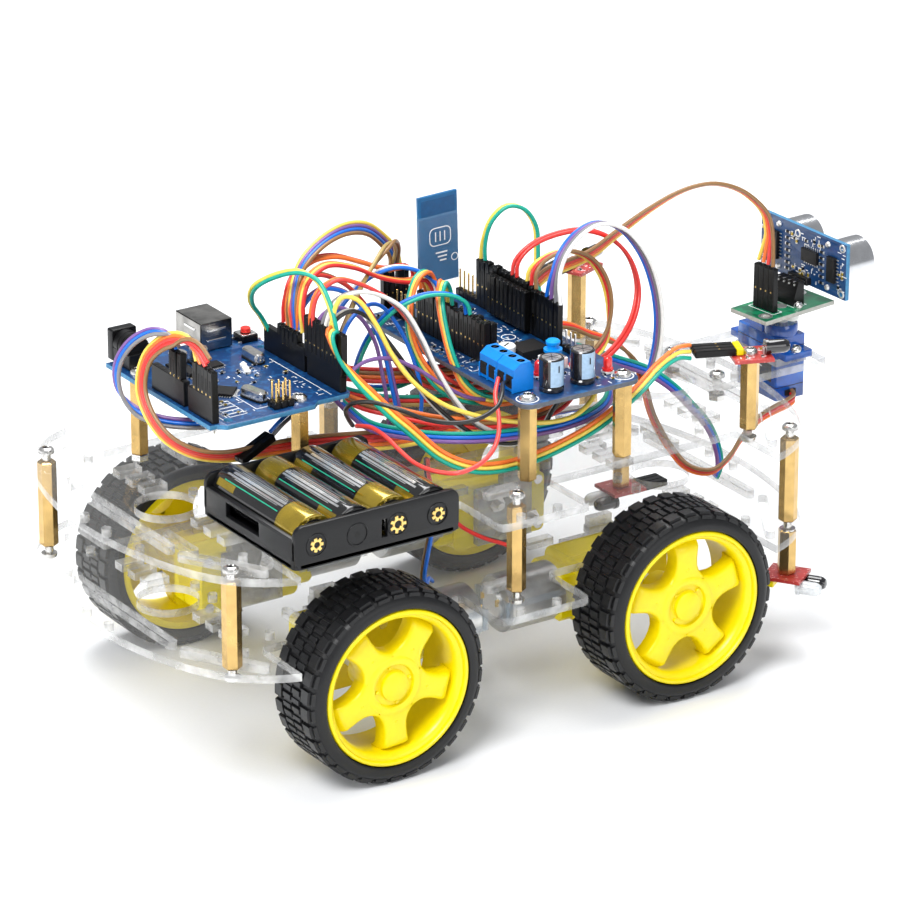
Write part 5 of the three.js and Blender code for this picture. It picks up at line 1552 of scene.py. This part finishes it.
def sonar_head():
    carrier = Piece("sonar_carrier_board", HEAD)
    outline = rectangle(0.4, 0, 32, 17.6)
    holes = [circle(-12, -4.6, 1.5, 20), circle(12.6, 4.6, 1.5, 20)]
    carrier.plate(outline, holes, 0.05, 1.5, GREEN_BOARD, PALE_EDGE, 0.08)
    for x, y in ((-12, -4.6), (12.6, 4.6)):
        carrier.lathe([(1.5, -0.03), (2.5, -0.03), (2.5, 1.62), (1.5, 1.62), (1.5, -0.03)], SOLDER,
                      Matrix.Translation((x, y, 0)), 24)
    carrier.rod(-1.2, -0.8, 1.53, 2.2, 0.08, SOLDER, 0.02, 24)
    screw(carrier, 2.2, -5.8, 1.55, r=1.6)
    for i in range(4):
        y = 0.6 + (i - 1.5) * GRID
        carrier.box(-7.2, y, 2.8, 2.5, 2.5, 2.5, HEADER, 0.3)
        plug(carrier, -7.2, y, 3.0, 14.2, faces=(-1, 0), lean=0.8)
        carrier.box(5.6, y, 8.9, 6.6, 0.64, 0.64, SOLDER, 0.1)
        carrier.box(3.6, y, 10.1, 2.9, 0.5, 0.1, SOLDER, 0.02)
    frame_line(carrier, -7.2, 0.6, 1.56, 4.2, 12, 0.25)
    frame_line(carrier, 3.6, 0.6, 1.56, 5.6, 12, 0.25)
    carrier.prism([(-2.2, 0), (2.3, 0), (2.3, 8.6), (-0.4, 8.6), (-2.2, 3)], -5.2, 10.4, HEADER, 0,
                  Matrix.Translation((3.6, 0.6, 1.55)) @ SWAP_YZ)
    carrier.prism(rounded(0, 0, 5, 15, 2.3), -2.2, 2.2, WHITE, 0.2)
    carrier.lathe([(0, -2.4), (3.2, -2.4), (3.2, 0), (0, 0)], WHITE, None, 24)
    carrier.done("sonar_head", ["sonar_carrier"])

    lean = Matrix.Translation((0.5, 0, 0)) @ Matrix.Rotation(math.radians(-4), 4, "Z")
    sensor = Piece("sonar_sensor_unit", HEAD @ lean)
    upright = Matrix(((0, 0, 1, 9.3 - 0.8), (1, 0, 0, 0), (0, 1, 0, 17.5), (0, 0, 0, 1)))
    holes = [circle(a * 20.4, b * 8.2, 0.9, 14) for a in (-1, 1) for b in (-1, 1)]
    sensor.plate(rectangle(0, 0, 45, 20), holes, 0, 1.6, SONAR_BOARD, BLUE_EDGE, 0.08, upright)
    spot = rear_frame()
    chip(sensor, -14.5, 0, 0, 10, 4.2, 1.4, 8, 90, spot)
    chip(sensor, 4.4, 1, 0, 8, 4.6, 1.4, 7, 0, spot)
    chip(sensor, 15.8, -0.4, 0, 9, 4, 1.4, 7, 90, spot)
    for column in (-8, 10):
        for k in range(7):
            sensor.box(column, -7 + 2.2 * k, 0.25, 1.7, 0.85, 0.5, EPOXY, 0.08, 0, spot)
            for s in (-1, 1):
                sensor.box(column + s * 1.0, -7 + 2.2 * k, 0.25, 0.5, 0.9, 0.5, SOLDER, 0.06, 0,
                           spot)
    for x, y in ((-20.4, 8.2), (20.4, 8.2), (-20.4, -8.2), (20.4, -8.2), (-3, 7), (0, -6.4)):
        sensor.lathe([(0.9, 0), (1.5, 0), (1.4, 0.2), (0.9, 0.25), (0.9, 0)], SOLDER,
                     spot @ Matrix.Translation((x, y, 0)), 14)
    for x, y in ((-13, 7.6), (13, 7.6), (-13, -7.8), (13, -7.8)):
        sensor.lathe([(0, 0), (1.1, 0), (0.8, 0.7), (0, 1)], SOLDER,
                     spot @ Matrix.Translation((x, y, 0)), 12)
    scatter(sensor, [(-22, -9, -18, 9), (-5, -9, 8, -3), (-6, 4, 9, 9), (18.6, -8, 22, 8)], 0,
            spot, density=0.08, marks=0.25)
    for y in (-13, 13):
        can = Matrix.Translation((9.3 + 0.85, y, 17.5)) @ Z_TO_X
        sensor.lathe([(0, 0), (8.2, 0), (8.2, 1.0), (8.0, 1.2), (8.0, 12.2), (7.7, 12.6),
                      (7.2, 12.6),
                      (7.0, 12.2), (7.0, 11), (0, 11)], CAN, can, 48)
        sensor.lathe([(0, 11.0), (6.9, 11.0), (6.7, 11.5), (0, 11.7)], MESH, can, 32)
    sensor.box(12.4, 0, 22.4, 4.4, 10.4, 3.6, STEEL, 1.2)
    for i in range(4):
        sensor.box(7.4, 0.6 + (i - 1.5) * GRID, 9.2, 3.4, 0.64, 0.64, SOLDER, 0.1)
    sensor.box(7.6, 0.6, 9.1, 2.4, 10.3, 2.5, HEADER, 0.3)
    sensor.done("sonar_head", ["sonar_sensor"])


def rear_frame():
    """The ultrasonic board's rear face: x across it, y up it, z away from it."""
    return Matrix(((0, 0, -1, 9.3 - 0.8), (-1, 0, 0, 0), (0, 1, 0, 17.5), (0, 0, 0, 1)))


# ---- infrared and line sensors ----


def sensor_board(piece, z, bulbs, here):
    """A small red board with its bulb, header and plug; +X is where the bulb looks."""
    piece.plate(rectangle(0, 0, 13.4, 12.6), [circle(0, 0, 1.5, 16)], z, 1.2, RED_BOARD, RED_BOARD,
                0.06, here)
    screw(piece, 0, 0, z + 1.2, r=2.5, here=here)
    scatter(piece, [(-5, -5.5, 5, -3.4), (3, 1, 6, 5)], z + 1.2, here, density=0.12, marks=0.3)
    for y, material in bulbs:
        spot = here @ Matrix.Translation((4.6, y, z + 3.5)) @ Z_TO_X
        piece.lathe([(0, 0), (2.7, 0), (2.7, 1), (2.35, 1.05), (2.35, 6.2), (2.1, 7.3), (1.5, 8.2),
                     (0, 8.7)], material, spot, 24)
        for dy in (-0.6, 0.6):
            piece.box(4.2, y + dy, z + 2.2, 0.5, 0.4, 2.6, SOLDER, 0.05, 0, here)
    for i in range(3):
        y = 2 + (i - 1) * GRID
        piece.box(-3.8, y, z + 2.5, 2.4, 2.5, 2.5, YELLOW, 0.3, 0, here)
        piece.box(-5.6, y, z + 2.5, 5, 0.64, 0.64, GOLD, 0.1, 0, here)
        spot = here @ Matrix.Translation((-5.2, y, z + 2.5)) @ Matrix.Rotation(-math.pi / 2, 4,
                                                                               "Y")
        plug(piece, 0, 0, 0, 13.8, here=spot, faces=(1, 0), lean=0.5)


def sensors():
    for side, s in (("left", 1), ("right", -1)):
        base = at(97, s * 50.4, 0, s * 22)
        piece = Piece("infrared_" + side, base)
        r = STANDOFF_R
        low, high = UPPER_TOP + 0.05, UPPER_TOP + 25.3
        piece.lathe([(0, low), (r * 0.86, low), (r, low + 0.5), (r, high - 0.5), (r * 0.86, high),
                     (0, high)], BRASS, None, 6)
        screw(piece, 0, 0, UPPER_TOP - DECK_T, up=-1)
        sensor_board(piece, UPPER_TOP + 25.3, [(-1, BULB)], Matrix())
        piece.done("chassis", ["infrared_sensor_" + side])
    for side, x, y, turn in (("left", 105, 34, 180), ("right", 108, -58.5, 55)):
        z0 = LOWER_TOP - DECK_T - 0.3
        base = Matrix.Translation((x, y, z0)) @ Matrix.Rotation(math.pi, 4, "X")
        base = base @ Matrix.Rotation(math.radians(turn), 4, "Z")
        piece = Piece("line_" + side, base)
        r = STANDOFF_R
        piece.lathe([(0, -0.2), (r * 0.86, -0.2), (r, 0.4), (r, 15.5), (r * 0.86, 16), (0, 16)],
                    BRASS, None, 6)
        sensor_board(piece, 16, [(-3.4, BULB), (2.2, CLEAR_BULB)], Matrix())
        piece.done("chassis", ["line_sensor_" + side])


def loose_plug():
    """The black housing lying across the deck behind the battery holder."""
    piece = Piece("loose_plug", facing(-74, -7.4, 91.6, (13, 1.4, 5.2)))
    for y in (-1.27, 1.27):
        piece.box(y, 0, 7, 2.45, 2.45, 14, PLUG, 0.22)
    piece.box(0, -1.2, 9, 1.0, 0.1, 4.4, PAINTED_SHADE_AND_MARKS, 0.02)
    piece.done("chassis")


make_camera()
frame_leads()
jumper_wires()
make_studio()
decks()
drive()
battery()
controller()
driver()
servo()
sonar_head()
sensors()
loose_plug()
